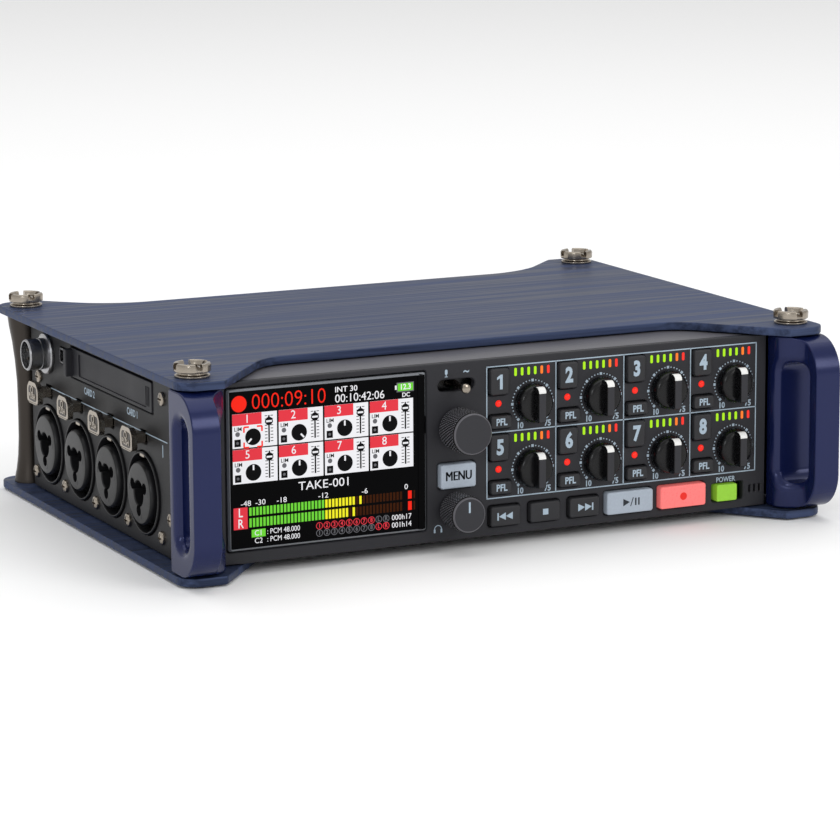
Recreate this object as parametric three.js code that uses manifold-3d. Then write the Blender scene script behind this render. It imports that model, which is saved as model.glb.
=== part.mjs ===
// Portable eight-input field recorder, built as an assembly.
// Millimetres, +Z up, front panel towards -Y, +X to the right.
// The origin is the middle of the base plate's underside.

import * as THREE from "three";
import { mergeVertices } from "three/addons/utils/BufferGeometryUtils.js";
import Module from "manifold-3d";

const wasm = await Module();
wasm.setup();

// ---------------------------------------------------------------- driving dimensions

const WIDTH = 178.2; // across both plates
const PLATE_DEPTH = 132.7; // front edge to rear edge of the corner ears
const STACK = 49.5; // underside of the base plate to the top face of the top plate
const PLATE = 2.1; // plate thickness
const GAP = 0.3; // clearance kept between neighbouring solids

const EAR_X = 77.8; // inner end of each corner ear
const EAR_CORNER = 5; // radius of the outer plate corners
const FRONT_RECESS = -42.3; // front edge of the plates between the ears
const REAR_RECESS = 50.5; // rear edge of the plates between the ears
const FRONT_CORNER = 57.6; // where an ear's slanted side would meet the recessed edge
const REAR_CORNER = 61.5;

const SCREW_X = 82.8; // corner screw positions
const SCREW_Y = 58.2;
const SHANK_R = 2;
const HEAD_R = 4.5;
const HEAD_TOP = 53; // top of the screw heads, the height of the whole object

const PANEL_FACE = -58; // outer face of the front panel
const PANEL_WALL = 2;
const PANEL_X = 75.8; // half width of the front panel
const TRAY_BACK = -40.5; // how far the panel's ledges reach back under the plates

const HANDLE_FRONT = -73;
const HANDLE_REAR = -57.6;
const HANDLE_IN = 76.3;
const HANDLE_OUT = 88.9;
const HANDLE_CORNER = 10;
const BAR_IN = 81.7; // inner side of the slim front bar
const SLOT = { y: -65, z: 24.75, width: 7, height: 31.5 };

const SIDE_X = 84; // outer face of the side panels
const SHEET = 1.5; // side and rear sheet thickness
const SIDE_FRONT = -57.3;
const SIDE_REAR = 51.5;
const REAR_FACE = 52;

const JACK_FIRST_Y = -28.8; // centre of the jack nearest the front
const JACK_PITCH = 22.4;
const JACK_Z = 15.5;
const JACK_R = 10.4;
const JACK_CORE_R = 7.9;
const JACK_BORE_R = 3.2;
const JACK_CORE_X = 85.7; // outer end of the jack core
const JACK_BACK = 62;
const LATCH_Z = 29.8;
const LATCH_FACE = 88.7;

const GRID_X = -4.45; // top left corner of the channel grid
const GRID_Z = 45.15;
const CELL_W = 19.3;
const CELL_H = 16.63;
const KEY_BACK = -54.6; // rear end of every key
const KEY_RAISE = 1.3; // how far a key stands out of the panel
const LIT_KEY_RAISE = 1.5;
const KEY_GAP = 0.25;
const BOARD_FRONT = -52.4;
const BOARD = 1.6; // circuit board thickness

const LOW = PLATE + GAP; // lowest and highest level between the plates
const HIGH = STACK - PLATE - GAP;

// Places on the front panel, as the centre of each control.
const ENCODER = { x: -12.6, z: 30.6, r: 5.4, reach: 8.7 };
const PHONES = { x: -13.2, z: 10.2, r: 4.65, reach: 7.7 };
const SLATE = { x: -12.8, z: 41.4, width: 9.8, height: 2.9 };
const WINDOW = { left: -74.2, right: -21.4, low: 5.8, high: 45.4 };
const POWER = { x: 64, z: 6.95, width: 6, height: 4.4, slotLeft: 60.2, slotRight: 69.2 };
const KEYS = {
  menu_key: { x: -12.95, z: 18.85, w: 9.7, h: 6.2, raise: LIT_KEY_RAISE },
  rewind_key: { x: 0.2, z: 7.35, w: 8.3, h: 5, raise: KEY_RAISE },
  stop_key: { x: 11.35, z: 7.35, w: 8.4, h: 5, raise: KEY_RAISE },
  forward_key: { x: 22.5, z: 7.4, w: 8.4, h: 5, raise: KEY_RAISE },
  play_key: { x: 35.45, z: 7.45, w: 13.3, h: 5.8, raise: LIT_KEY_RAISE },
  record_key: { x: 50.9, z: 7.4, w: 13.3, h: 5.8, raise: LIT_KEY_RAISE },
};
const CHANNELS = [];
for (let row = 0; row < 2; row += 1) {
  for (let column = 0; column < 4; column += 1) {
    const left = GRID_X + column * CELL_W;
    const top = GRID_Z - row * CELL_H;
    const number = row * 4 + column + 1;
    CHANNELS.push({ number, knobX: left + 12.75, knobZ: top - 9.9 });
    KEYS[`track_key_${number}`] = { x: left + 3.1, z: top - 3.75, w: 5.2, h: 6.6, raise: KEY_RAISE };
    KEYS[`pfl_key_${number}`] = { x: left + 3.5, z: top - 13.95, w: 5.9, h: 3.2, raise: KEY_RAISE };
  }
}
const JACK_YS = [0, 1, 2, 3].map((i) => JACK_FIRST_Y + i * JACK_PITCH);

// ---------------------------------------------------------------- solids

// A closed three.js geometry as a solid. Faces that look inwards are turned round.
function solid(geometry) {
  const bare = geometry.clone();
  bare.deleteAttribute("normal");
  bare.deleteAttribute("uv");
  const merged = mergeVertices(bare, 1e-4);
  const triangles = [];
  for (let i = 0; i < merged.index.count; i += 3) {
    const corners = [0, 1, 2].map((k) => merged.index.getX(i + k));
    if (new Set(corners).size === 3) triangles.push(corners);
  }
  const build = (list) =>
    new wasm.Manifold(
      new wasm.Mesh({
        numProp: 3,
        vertProperties: merged.attributes.position.array,
        triVerts: new Uint32Array(list.flat()),
      }),
    );
  const made = build(triangles);
  return made.volume() > 0 ? made : build(triangles.map(([a, b, c]) => [a, c, b]));
}

function geometryOf(body) {
  const mesh = body.getMesh();
  const geometry = new THREE.BufferGeometry();
  geometry.setAttribute("position", new THREE.BufferAttribute(new Float32Array(mesh.vertProperties), 3));
  geometry.setIndex(new THREE.BufferAttribute(new Uint32Array(mesh.triVerts), 1));
  geometry.computeVertexNormals();
  return geometry;
}

const join = (...bodies) => bodies.reduce((a, b) => a.add(b));
const cut = (body, ...tools) => tools.reduce((a, b) => a.subtract(b), body);
const mirrored = (body) => solid(geometryOf(body).scale(-1, 1, 1));

// A block between two corners.
function block([x0, y0, z0], [x1, y1, z1]) {
  const geometry = new THREE.BoxGeometry(x1 - x0, y1 - y0, z1 - z0);
  return solid(geometry.translate((x0 + x1) / 2, (y0 + y1) / 2, (z0 + z1) / 2));
}

// A shape drawn in X and Z, run from y0 (nearer the viewer) to y1.
function facing(shape, y0, y1, chamfer = 0) {
  const geometry = new THREE.ExtrudeGeometry(shape, {
    depth: y1 - y0 - 2 * chamfer,
    curveSegments: 6,
    bevelEnabled: chamfer > 0,
    bevelSegments: 1,
    bevelSize: chamfer,
    bevelThickness: chamfer,
    bevelOffset: -chamfer,
  });
  return solid(geometry.rotateX(Math.PI / 2).translate(0, y1 - chamfer, 0));
}

// A shape drawn in Y and Z, run along X. A chamfer makes the run's middle wider.
function sideways(shape, x0, x1, chamfer = 0) {
  const geometry = new THREE.ExtrudeGeometry(shape, {
    depth: x1 - x0 - 2 * chamfer,
    curveSegments: 6,
    bevelEnabled: chamfer > 0,
    bevelSegments: 1,
    bevelSize: chamfer,
    bevelThickness: chamfer,
  });
  const along = new THREE.Matrix4().makeBasis(
    new THREE.Vector3(0, 1, 0),
    new THREE.Vector3(0, 0, 1),
    new THREE.Vector3(1, 0, 0),
  );
  return solid(geometry.applyMatrix4(along).translate(x0 + chamfer, 0, 0));
}

// A shape drawn in X and Y, run up from z0 to z1.
function upright(shape, z0, z1) {
  const options = { depth: z1 - z0, curveSegments: 6, bevelEnabled: false };
  return solid(new THREE.ExtrudeGeometry(shape, options).translate(0, 0, z0));
}

// A turned piece: [radius, height] pairs, its axis along towards, its foot at place.
const TURN = {
  up: [Math.PI / 2, 0],
  front: [Math.PI, 0],
  back: [0, 0],
  left: [0, Math.PI / 2],
  right: [0, -Math.PI / 2],
};
function turned(profile, towards, place, segments = 16) {
  const points = profile.map(([r, h]) => new THREE.Vector2(r, h));
  const [aboutX, aboutZ] = TURN[towards];
  const geometry = new THREE.LatheGeometry(points, segments);
  return solid(geometry.rotateX(aboutX).rotateZ(aboutZ).translate(...place));
}

const rod = (r, length, towards, place, segments = 12) =>
  turned([[0, 0], [r, 0], [r, length], [0, length]], towards, place, segments);

// ---------------------------------------------------------------- outlines

function rectangle(x, z, w, h, corner = 0) {
  const shape = new THREE.Shape();
  const [l, r, b, t] = [x - w / 2, x + w / 2, z - h / 2, z + h / 2];
  shape.moveTo(l + corner, b);
  shape.lineTo(r - corner, b);
  if (corner) shape.lineTo(r, b + corner);
  shape.lineTo(r, t - corner);
  if (corner) shape.lineTo(r - corner, t);
  shape.lineTo(l + corner, t);
  if (corner) shape.lineTo(l, t - corner);
  shape.lineTo(l, b + corner);
  return shape;
}

function circle(x, z, r) {
  const shape = new THREE.Shape();
  for (let i = 0; i < 16; i += 1) {
    const turn = ((i + 0.5) / 16) * 2 * Math.PI;
    const [u, v] = [x + r * Math.cos(turn), z + r * Math.sin(turn)];
    if (i) shape.lineTo(u, v);
    else shape.moveTo(u, v);
  }
  return shape;
}

// A slot with round ends, taller than it is wide.
function tallSlot({ y, z, width, height }) {
  const r = width / 2;
  const shape = new THREE.Shape();
  shape.absarc(y, z - height / 2 + r, r, Math.PI, 2 * Math.PI, false);
  shape.absarc(y, z + height / 2 - r, r, 0, Math.PI, false);
  return shape;
}

// The plates' outline: four ears, joined by slanted sides to a recessed front and rear edge.
function plateOutline() {
  const x = WIDTH / 2;
  const ear = PLATE_DEPTH / 2;
  const r = EAR_CORNER;
  const [front, rear] = [FRONT_RECESS, REAR_RECESS];
  const [frontBend, rearBend] = [5.6, 9.5];
  const [fx, fy] = [FRONT_CORNER + 0.64 * frontBend, front - 0.77 * frontBend];
  const [rx, ry] = [REAR_CORNER + 0.72 * rearBend, rear + 0.69 * rearBend];
  const shape = new THREE.Shape();
  shape.moveTo(-x + r, -ear);
  shape.lineTo(-EAR_X, -ear);
  shape.lineTo(-fx, fy);
  shape.quadraticCurveTo(-FRONT_CORNER, front, -FRONT_CORNER + frontBend, front);
  shape.lineTo(FRONT_CORNER - frontBend, front);
  shape.quadraticCurveTo(FRONT_CORNER, front, fx, fy);
  shape.lineTo(EAR_X, -ear);
  shape.lineTo(x - r, -ear);
  shape.absarc(x - r, -ear + r, r, -Math.PI / 2, 0, false);
  shape.absarc(x - r, ear - r, r, 0, Math.PI / 2, false);
  shape.lineTo(EAR_X, ear);
  shape.lineTo(rx, ry);
  shape.quadraticCurveTo(REAR_CORNER, rear, REAR_CORNER - rearBend, rear);
  shape.lineTo(-REAR_CORNER + rearBend, rear);
  shape.quadraticCurveTo(-REAR_CORNER, rear, -rx, ry);
  shape.lineTo(-EAR_X, ear);
  shape.lineTo(-x + r, ear);
  shape.absarc(-x + r, ear - r, r, Math.PI / 2, Math.PI, false);
  shape.absarc(-x + r, -ear + r, r, Math.PI, 1.5 * Math.PI, false);
  return shape;
}

// ---------------------------------------------------------------- frame pieces

function plate(z) {
  const corners = [[-1, -1], [1, -1], [-1, 1], [1, 1]];
  const holes = corners.map(([sx, sy]) =>
    rod(SHANK_R + GAP, PLATE + 2, "up", [sx * SCREW_X, sy * SCREW_Y, z - 1]),
  );
  return cut(upright(plateOutline(), z, z + PLATE), ...holes);
}

// A big cross-slotted screw: its shank rises from z0 through the top plate to a cupped head.
function cornerScrew(x, y, z0) {
  const under = STACK + GAP;
  const cup = HEAD_TOP - 0.8;
  const body = turned(
    [
      [0, z0], [SHANK_R, z0], [SHANK_R, under], [3.9, under], [3.9, under + 0.6],
      [HEAD_R, under + 0.9], [HEAD_R, HEAD_TOP - 0.4], [HEAD_R - 0.4, HEAD_TOP],
      [2.9, HEAD_TOP], [2.5, cup], [0, cup],
    ],
    "up",
    [x, y, 0],
  );
  const [half, reach, floor] = [0.8, HEAD_R + 1, HEAD_TOP - 1.5];
  return cut(
    body,
    block([x - half, y - reach, floor], [x + half, y + reach, HEAD_TOP + 1]),
    block([x - reach, y - half, floor], [x + reach, y + half, HEAD_TOP + 1]),
  );
}

// The right-hand guard: a D-shaped block with an upright slot, narrowed to a slim front bar.
// The slot's edges flare outwards on both sides.
function handleRight() {
  const side = new THREE.Shape();
  const [f, r] = [HANDLE_FRONT, HANDLE_CORNER];
  side.moveTo(HANDLE_REAR, LOW);
  side.lineTo(HANDLE_REAR, HIGH);
  side.lineTo(f + r, HIGH);
  side.absarc(f + r, HIGH - r, r, Math.PI / 2, Math.PI, false);
  side.absarc(f + r, LOW + r, r, Math.PI, 1.5 * Math.PI, false);
  const taper = new THREE.Shape();
  taper.moveTo(HANDLE_IN - 1, f - 1);
  taper.lineTo(BAR_IN, f - 1);
  taper.lineTo(BAR_IN, f + 4);
  taper.lineTo(HANDLE_IN, HANDLE_REAR - 3.5);
  taper.lineTo(HANDLE_IN - 1, HANDLE_REAR - 3.5);
  const opening = tallSlot(SLOT);
  const flare = 2.2;
  return join(
    cut(
      sideways(side, HANDLE_IN, HANDLE_OUT),
      upright(taper, 0, STACK),
      sideways(opening, HANDLE_IN - 1, HANDLE_OUT + 1),
      sideways(opening, HANDLE_OUT - flare, HANDLE_OUT + 2 * flare, flare),
      sideways(opening, BAR_IN - 4 * flare, BAR_IN + flare, flare),
    ),
    cornerScrew(SCREW_X, -SCREW_Y, HIGH),
  );
}

// A waisted pillar between the plates at a rear corner, with its screw.
function rearPost(x) {
  const pillar = turned(
    [
      [0, LOW], [4.2, LOW], [4.2, LOW + 0.9], [3.3, LOW + 5], [2.9, LOW + 13],
      [2.9, HIGH - 17], [3.6, HIGH - 9], [5, HIGH - 1.2], [5, HIGH], [0, HIGH],
    ],
    "up",
    [x, SCREW_Y, 0],
  );
  return join(pillar, cornerScrew(x, SCREW_Y, HIGH - 1));
}

// ---------------------------------------------------------------- front

function frontPanel() {
  const middle = (LOW + HIGH) / 2;
  const back = PANEL_FACE + PANEL_WALL;
  const through = (shape) => facing(shape, PANEL_FACE - 1, back + 1);
  const opening = (x, z, w, h) => through(rectangle(x, z, w + 2 * KEY_GAP, h + 2 * KEY_GAP));
  const { left, right, low, high } = WINDOW;
  const slotWidth = POWER.slotRight - POWER.slotLeft;
  return join(
    cut(
      facing(rectangle(0, middle, 2 * PANEL_X, HIGH - LOW), PANEL_FACE, back),
      opening((left + right) / 2, (low + high) / 2, right - left + 0.1, high - low + 0.1),
      ...Object.values(KEYS).map(({ x, z, w, h }) => opening(x, z, w, h)),
      opening(SLATE.x, SLATE.z, SLATE.width, SLATE.height),
      opening((POWER.slotLeft + POWER.slotRight) / 2, POWER.z, slotWidth, POWER.height),
      ...CHANNELS.map(({ knobX, knobZ }) => through(circle(knobX, knobZ, 2.2))),
      ...[ENCODER, PHONES].map(({ x, z }) => through(circle(x, z, 2.6))),
    ),
    block([-PANEL_X, back - 0.5, HIGH - 1.2], [PANEL_X, TRAY_BACK, HIGH]),
    block([-PANEL_X, back - 0.5, LOW], [PANEL_X, TRAY_BACK, LOW + 0.7]),
    block([-PANEL_X, back - 0.5, LOW], [-PANEL_X + 1.1, TRAY_BACK, HIGH]),
    block([PANEL_X - 1.1, back - 0.5, LOW], [PANEL_X, TRAY_BACK, HIGH]),
  );
}

// A key cap that runs through the panel, with an ear each side to hold it behind the face.
function keyCap({ x, z, w, h, raise }) {
  const ear = 0.55;
  return join(
    facing(rectangle(x, z, w, h, 0.7), PANEL_FACE - raise, KEY_BACK, 0.4),
    block([x - w / 2 - ear, KEY_BACK - 0.9, z - h / 4], [x + w / 2 + ear, KEY_BACK - 0.1, z + h / 4]),
  );
}

// The gain knob: a skirt, and a hub cut down on both sides to a straight pointer bar.
function gainKnob(x, z) {
  const base = PANEL_FACE - GAP;
  const reach = 5.2;
  const side = 5;
  const bar = 1.15;
  const hub = turned(
    [[0, 0], [4.85, 0], [4.85, 0.7], [4.4, 2], [4.3, reach - 0.4], [3.9, reach], [0, reach]],
    "front",
    [x, base, z],
  );
  return join(
    cut(
      hub,
      block([x - side, base - reach - 1, z - side], [x - bar, base - 2.1, z + side]),
      block([x + bar, base - reach - 1, z - side], [x + side, base - 2.1, z + side]),
    ),
    rod(1.5, 2.6, "back", [x, base - 0.2, z], 12),
  );
}

// A round knob with ribbed sides, on a shaft through the panel.
function ribbedKnob({ x, z, r, reach }) {
  const base = PANEL_FACE - GAP;
  return join(
    turned(
      [[0, 0], [r - 0.3, 0], [r, 0.4], [r, reach - 0.7], [r - 0.4, reach], [0, reach]],
      "front",
      [x, base, z],
      24,
    ),
    rod(2, 2.6, "back", [x, base - 0.2, z], 12),
  );
}

// The small bat lever in the slot above the encoder, centred at rest.
function slateLever() {
  return turned(
    [[0, 0], [1.3, 0.1], [1.2, 3], [0.8, 4], [0.9, 8], [1.25, 8.9], [0.95, 9.6], [0, 9.7]],
    "front",
    [SLATE.x, -54.2, SLATE.z],
    14,
  );
}

function powerSlider() {
  const { x, z, width, height } = POWER;
  return join(
    facing(rectangle(x, z, width, height, 0.5), PANEL_FACE - 1.1, -55.4, 0.3),
    block([x - width / 2 + 0.6, -56, z - 1.6], [x + width / 2 - 0.6, KEY_BACK, z + 1.6]),
  );
}

// The clear window with the display module behind it. Its right edge is scalloped for the encoder.
function displayWindow() {
  const { left, right, low, high } = WINDOW;
  const [x, z] = [(left + right) / 2, (low + high) / 2];
  const pane = cut(
    facing(rectangle(x, z, right - left, high - low), PANEL_FACE - 0.6, PANEL_FACE + 1.4, 0.4),
    rod(3.2, 4, "front", [right + 2.2, PANEL_FACE + 2, 32.5]),
  );
  return join(pane, block([left + 1, PANEL_FACE + 1.2, low + 1], [right - 2, -51.6, high - 1]));
}

// The board behind the controls, with the bodies of the dials, the encoder and the switches.
function controlBoard() {
  const front = BOARD_FRONT;
  const bodies = CHANNELS.map(({ knobX: x, knobZ: z }) =>
    block([x - 4.1, -55.2, z - 4.1], [x + 4.1, front + 0.2, z + 4.1]),
  );
  const { x: ex, z: ez } = ENCODER;
  const { x: px, z: pz } = PHONES;
  const { x: sx, z: sz } = SLATE;
  return join(
    block([-20.4, front, 3.7], [74, front + BOARD, 45.6]),
    ...bodies,
    block([ex - 4.6, -55.2, ez - 4.6], [ex + 4.6, front + 0.2, ez + 4.6]),
    block([px - 4.1, -55.2, pz - 4.1], [px + 4.1, front + 0.2, pz + 4.1]),
    block([sx - 5.4, -53.6, sz - 2.8], [sx + 5.4, front + 0.2, sz + 2.8]),
    block([POWER.slotLeft, -53.9, POWER.z - 2], [POWER.slotRight, front + 0.2, POWER.z + 2]),
  );
}

// ---------------------------------------------------------------- sides and rear

const DC = { y: 39.4, z: 39.8 };
const USB = { y: 26.2, z: 41, w: 6.6, h: 4 };
const DOOR = { front: -35.2, rear: 21.4, low: 36.7, high: 44.3 };

// A plain side sheet from x0 to x1, with the given outlines cut out of it, beside the
// round holes for the four jacks and the small ones for their latches.
function sideSheet(x0, x1, outlines) {
  const height = HIGH - GAP - LOW;
  const whole = rectangle((SIDE_FRONT + SIDE_REAR) / 2, LOW + height / 2, SIDE_REAR - SIDE_FRONT, height);
  const holes = [
    ...JACK_YS.map((y) => circle(y, JACK_Z, JACK_R + GAP)),
    ...JACK_YS.map((y) => rectangle(y, LATCH_Z, 4.2, 3.2)),
    ...outlines,
  ];
  return cut(sideways(whole, x0, x1), ...holes.map((shape) => sideways(shape, x0 - 1, x1 + 1)));
}

function leftSidePanel() {
  const { front, rear, low, high } = DOOR;
  return sideSheet(-SIDE_X, -SIDE_X + SHEET, [
    rectangle((front + rear) / 2, (low + high) / 2, rear - front + 0.6, high - low + 0.6),
    rectangle(USB.y, USB.z, USB.w + 0.6, USB.h + 0.6),
    circle(DC.y, DC.z, 4.6),
  ]);
}

// An output socket: a nut outside the sheet and an open barrel behind it.
function outputSocket(y, z, bore, nut, barrel, depth) {
  return turned(
    [
      [0, 0], [barrel, 0], [barrel, depth], [nut, depth], [nut, depth + 2.2],
      [bore, depth + 2.2], [bore, 2], [0, 2],
    ],
    "right",
    [SIDE_X - depth, y, z],
  );
}

const OUTPUTS = [
  { y: -33, bore: 3.25, nut: 5.6, barrel: 4.6, depth: 20 },
  { y: -17, bore: 1.8, nut: 3.6, barrel: 3, depth: 14 },
  { y: 4, bore: 4.1, nut: 6.6, barrel: 5.4, depth: 15 },
  { y: 26, bore: 4.1, nut: 6.6, barrel: 5.4, depth: 15 },
];
const OUTPUT_Z = 40;

function rightSidePanel() {
  const bores = OUTPUTS.map(({ y, bore }) => circle(y, OUTPUT_Z, bore + 0.05));
  return join(
    sideSheet(SIDE_X - SHEET, SIDE_X, bores),
    ...OUTPUTS.map(({ y, bore, nut, barrel, depth }) => outputSocket(y, OUTPUT_Z, bore, nut, barrel, depth)),
  );
}

// Four combination jacks on one upright board, for the left side.
// Each jack is a bezel, a deep ring-shaped groove and a core with a round bore.
function leftInputBoard() {
  const face = SIDE_X + 0.3 - JACK_BACK;
  const core = JACK_CORE_X - JACK_BACK;
  const groove = JACK_R - 1.1;
  const jacks = JACK_YS.map((y) =>
    turned(
      [
        [0, -0.2], [JACK_R, -0.2], [JACK_R, face], [groove, face], [groove, face - 12],
        [JACK_CORE_R, face - 12], [JACK_CORE_R, core], [JACK_BORE_R, core], [JACK_BORE_R, 8], [0, 8],
      ],
      "left",
      [-JACK_BACK, y, JACK_Z],
      20,
    ),
  );
  return join(block([-JACK_BACK, -41, LOW + 1], [-JACK_BACK + BOARD, 48, 28]), ...jacks);
}

// The round-edged push tab above a jack, on a stalk that runs into the case.
function leftLatch(y) {
  const tab = rectangle(y, LATCH_Z, 8, 5.8, 1.6);
  return join(
    sideways(tab, -LATCH_FACE, -LATCH_FACE + 1.4),
    block([-LATCH_FACE + 1, y - 1.8, LATCH_Z - 1.3], [-80, y + 1.8, LATCH_Z + 1.3]),
    block([-82, y - 2.6, LATCH_Z - 1.3], [-80, y + 2.6, LATCH_Z + 1.3]),
  );
}

// The card door: a flat slab with a thumb lip at its rear end, hinged at its front end.
function sdDoor() {
  const { front, rear, low, high } = DOOR;
  return join(
    block([-SIDE_X - 0.3, front, low], [-SIDE_X + 1.3, rear, high]),
    block([-SIDE_X - 2.3, rear - 2, low + 0.2], [-SIDE_X, rear, high - 0.2]),
  );
}

const BATTERY = { half: 53, low: 5.5, high: 22.5 };
const BNC = [{ x: 46 }, { x: 66 }];
const REAR_ROW_Z = 35.5;

function rearPanel() {
  const { half, low, high } = BATTERY;
  const inner = REAR_FACE - SHEET;
  const sockets = BNC.map(({ x }) =>
    turned(
      [
        [0, 0], [7, 0], [7, 1.6], [4.8, 1.6], [4.8, 15.4], [3.9, 15.4],
        [3.9, 6], [1.6, 6], [1.6, 13], [0, 13],
      ],
      "back",
      [x, REAR_FACE - 0.2, REAR_ROW_Z],
    ),
  );
  const inlet = turned(
    [[0, 0], [4.4, 0], [4.4, 1.4], [2.6, 1.4], [2.6, 0.4], [0, 0.4]],
    "back",
    [-62, REAR_FACE - 0.2, REAR_ROW_Z],
  );
  const sheet = cut(
    facing(rectangle(0, (LOW + HIGH) / 2, 2 * 82.2, HIGH - LOW), inner, REAR_FACE),
    block([-half, inner - 1, low], [half, REAR_FACE + 1, high]),
  );
  return join(
    cut(
      join(sheet, block([-15, REAR_FACE - 9, REAR_ROW_Z - 6], [15, REAR_FACE + 1.5, REAR_ROW_Z + 6])),
      block([-12.5, REAR_FACE - 7.8, REAR_ROW_Z - 3.5], [12.5, REAR_FACE + 2, REAR_ROW_Z + 3.5]),
    ),
    inlet,
    ...sockets,
  );
}

// The cover of the battery bay, hinged along its lower edge, with a finger ridge near its top.
function batteryCover() {
  const y = REAR_FACE + 0.2;
  return join(
    facing(rectangle(0, 13.9, 110, 18.6, 1.5), y, y + 1.6),
    block([-9, y + 1.5, 19], [9, y + 2.6, 20.4]),
  );
}

function batteryCase() {
  return facing(rectangle(0, 14, 103, 16, 3), -12, REAR_FACE - SHEET - GAP);
}

// The main board: card sockets behind the door, the data port and the round power connector.
function mainBoard() {
  const top = 34.6;
  const port = cut(
    block([-SIDE_X - 0.2, USB.y - USB.w / 2, USB.z - USB.h / 2], [-72, USB.y + USB.w / 2, USB.z + USB.h / 2]),
    block([-SIDE_X - 1, USB.y - 2.7, USB.z - 1.3], [-77, USB.y + 2.7, USB.z + 1.3]),
  );
  const power = turned(
    [
      [0, 0], [4.1, 0], [4.1, 13.2], [5.5, 13.2], [5.5, 13.9], [4.2, 14.1], [4.2, 18.2],
      [4, 19], [3.3, 19], [3.3, 13], [0, 13],
    ],
    "left",
    [-71, DC.y, DC.z],
  );
  return join(
    block([-79, -38, top - BOARD], [66, 41, top]),
    block([-80.5, -36, top - 0.2], [-56, 21, 43.6]),
    block([-78, USB.y - 3, top - 0.2], [-72, USB.y + 3, USB.z]),
    block([-80, DC.y - 3, top - 0.2], [-71.5, DC.y + 3, DC.z]),
    port,
    power,
  );
}

// ---------------------------------------------------------------- materials

const paint = (color, roughness, metalness = 0) =>
  new THREE.MeshStandardMaterial({ color, roughness, metalness });
const MATERIALS = {
  plate: paint("#4a506b", 0.38, 0.9),
  handle: paint("#232a5c", 0.25, 0.4),
  nickel: paint("#b9b3a8", 0.25, 1),
  shell: paint("#38393d", 0.6),
  sheet: paint("#2f3034", 0.55, 0.3),
  rubber: paint("#303135", 0.75),
  knob: paint("#17181b", 0.3),
  white: paint("#a9b9c8", 0.35),
  red: paint("#e8687a", 0.35),
  green: paint("#8cc63f", 0.35),
  glass: paint("#101216", 0.1),
  board: paint("#1f5a3c", 0.6),
  jack: paint("#1d1e21", 0.5),
};

// ---------------------------------------------------------------- assembly

const recorder = new THREE.Group();

function add(name, body, material) {
  const mesh = new THREE.Mesh(geometryOf(body), MATERIALS[material]);
  mesh.name = name;
  recorder.add(mesh);
}

add("bottom_plate", plate(0), "plate");
add("top_plate", plate(STACK - PLATE), "plate");

const guard = handleRight();
add("handle_right", guard, "handle");
add("handle_left", mirrored(guard), "handle");
add("rear_post_right", rearPost(SCREW_X), "nickel");
add("rear_post_left", rearPost(-SCREW_X), "nickel");

add("front_panel", frontPanel(), "shell");
add("display_window", displayWindow(), "glass");
add("control_board", controlBoard(), "board");

const KEY_MATERIALS = { menu_key: "white", play_key: "white", record_key: "red" };
for (const [name, key] of Object.entries(KEYS)) {
  add(name, keyCap(key), KEY_MATERIALS[name] ?? "rubber");
}
for (const { number, knobX, knobZ } of CHANNELS) {
  add(`gain_knob_${number}`, gainKnob(knobX, knobZ), "knob");
}
add("encoder_knob", ribbedKnob(ENCODER), "knob");
add("phones_knob", ribbedKnob(PHONES), "knob");
add("slate_switch", slateLever(), "nickel");
add("power_switch", powerSlider(), "green");

add("left_side_panel", leftSidePanel(), "sheet");
add("right_side_panel", rightSidePanel(), "sheet");
const inputs = leftInputBoard();
add("left_input_board", inputs, "jack");
add("right_input_board", mirrored(inputs), "jack");
JACK_YS.forEach((y, i) => {
  const latch = leftLatch(y);
  add(`jack_latch_${i + 1}`, latch, "nickel");
  add(`jack_latch_${i + 5}`, mirrored(latch), "nickel");
});
add("sd_door", sdDoor(), "shell");

add("rear_panel", rearPanel(), "sheet");
add("battery_cover", batteryCover(), "shell");
add("battery_case", batteryCase(), "shell");
add("main_board", mainBoard(), "board");

export default recorder;
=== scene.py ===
"""Portable field recorder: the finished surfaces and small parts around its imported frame."""

import math

import bmesh
import bpy
from mathutils import Matrix, Vector


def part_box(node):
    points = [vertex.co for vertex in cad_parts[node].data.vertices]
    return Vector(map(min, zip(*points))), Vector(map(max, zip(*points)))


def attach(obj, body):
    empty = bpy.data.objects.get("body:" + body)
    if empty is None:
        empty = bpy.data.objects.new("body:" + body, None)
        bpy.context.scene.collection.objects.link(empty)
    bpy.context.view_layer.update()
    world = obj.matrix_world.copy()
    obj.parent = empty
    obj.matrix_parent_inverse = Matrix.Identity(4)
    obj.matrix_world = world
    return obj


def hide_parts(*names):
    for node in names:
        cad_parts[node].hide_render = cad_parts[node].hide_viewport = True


bl_info = {
    "name": "Portable Field Recorder",
    "version": (1, 0, 0),
    "blender": (4, 5, 0),
    "location": "3D View > Sidebar > Recorder",
    "description": "Models the finish of a portable field recorder around its frame",
    "category": "Object",
}

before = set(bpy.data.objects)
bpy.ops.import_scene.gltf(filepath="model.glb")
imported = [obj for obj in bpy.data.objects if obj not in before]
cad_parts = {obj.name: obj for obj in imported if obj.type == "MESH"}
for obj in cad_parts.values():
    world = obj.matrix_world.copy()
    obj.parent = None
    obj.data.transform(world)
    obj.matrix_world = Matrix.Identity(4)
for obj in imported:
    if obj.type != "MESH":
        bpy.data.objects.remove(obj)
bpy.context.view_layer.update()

CHANNELS = range(1, 9)
CHASSIS = "chassis"


# ------------------------------------------------------------------ places and colours


def box(node):
    """A frame node's lowest and highest corner in millimetres."""
    low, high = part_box(node)
    return Vector([v * 1000 for v in low]), Vector([v * 1000 for v in high])


def middle(node):
    """The centre of a frame node in millimetres."""
    low, high = box(node)
    return (low + high) / 2


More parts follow.
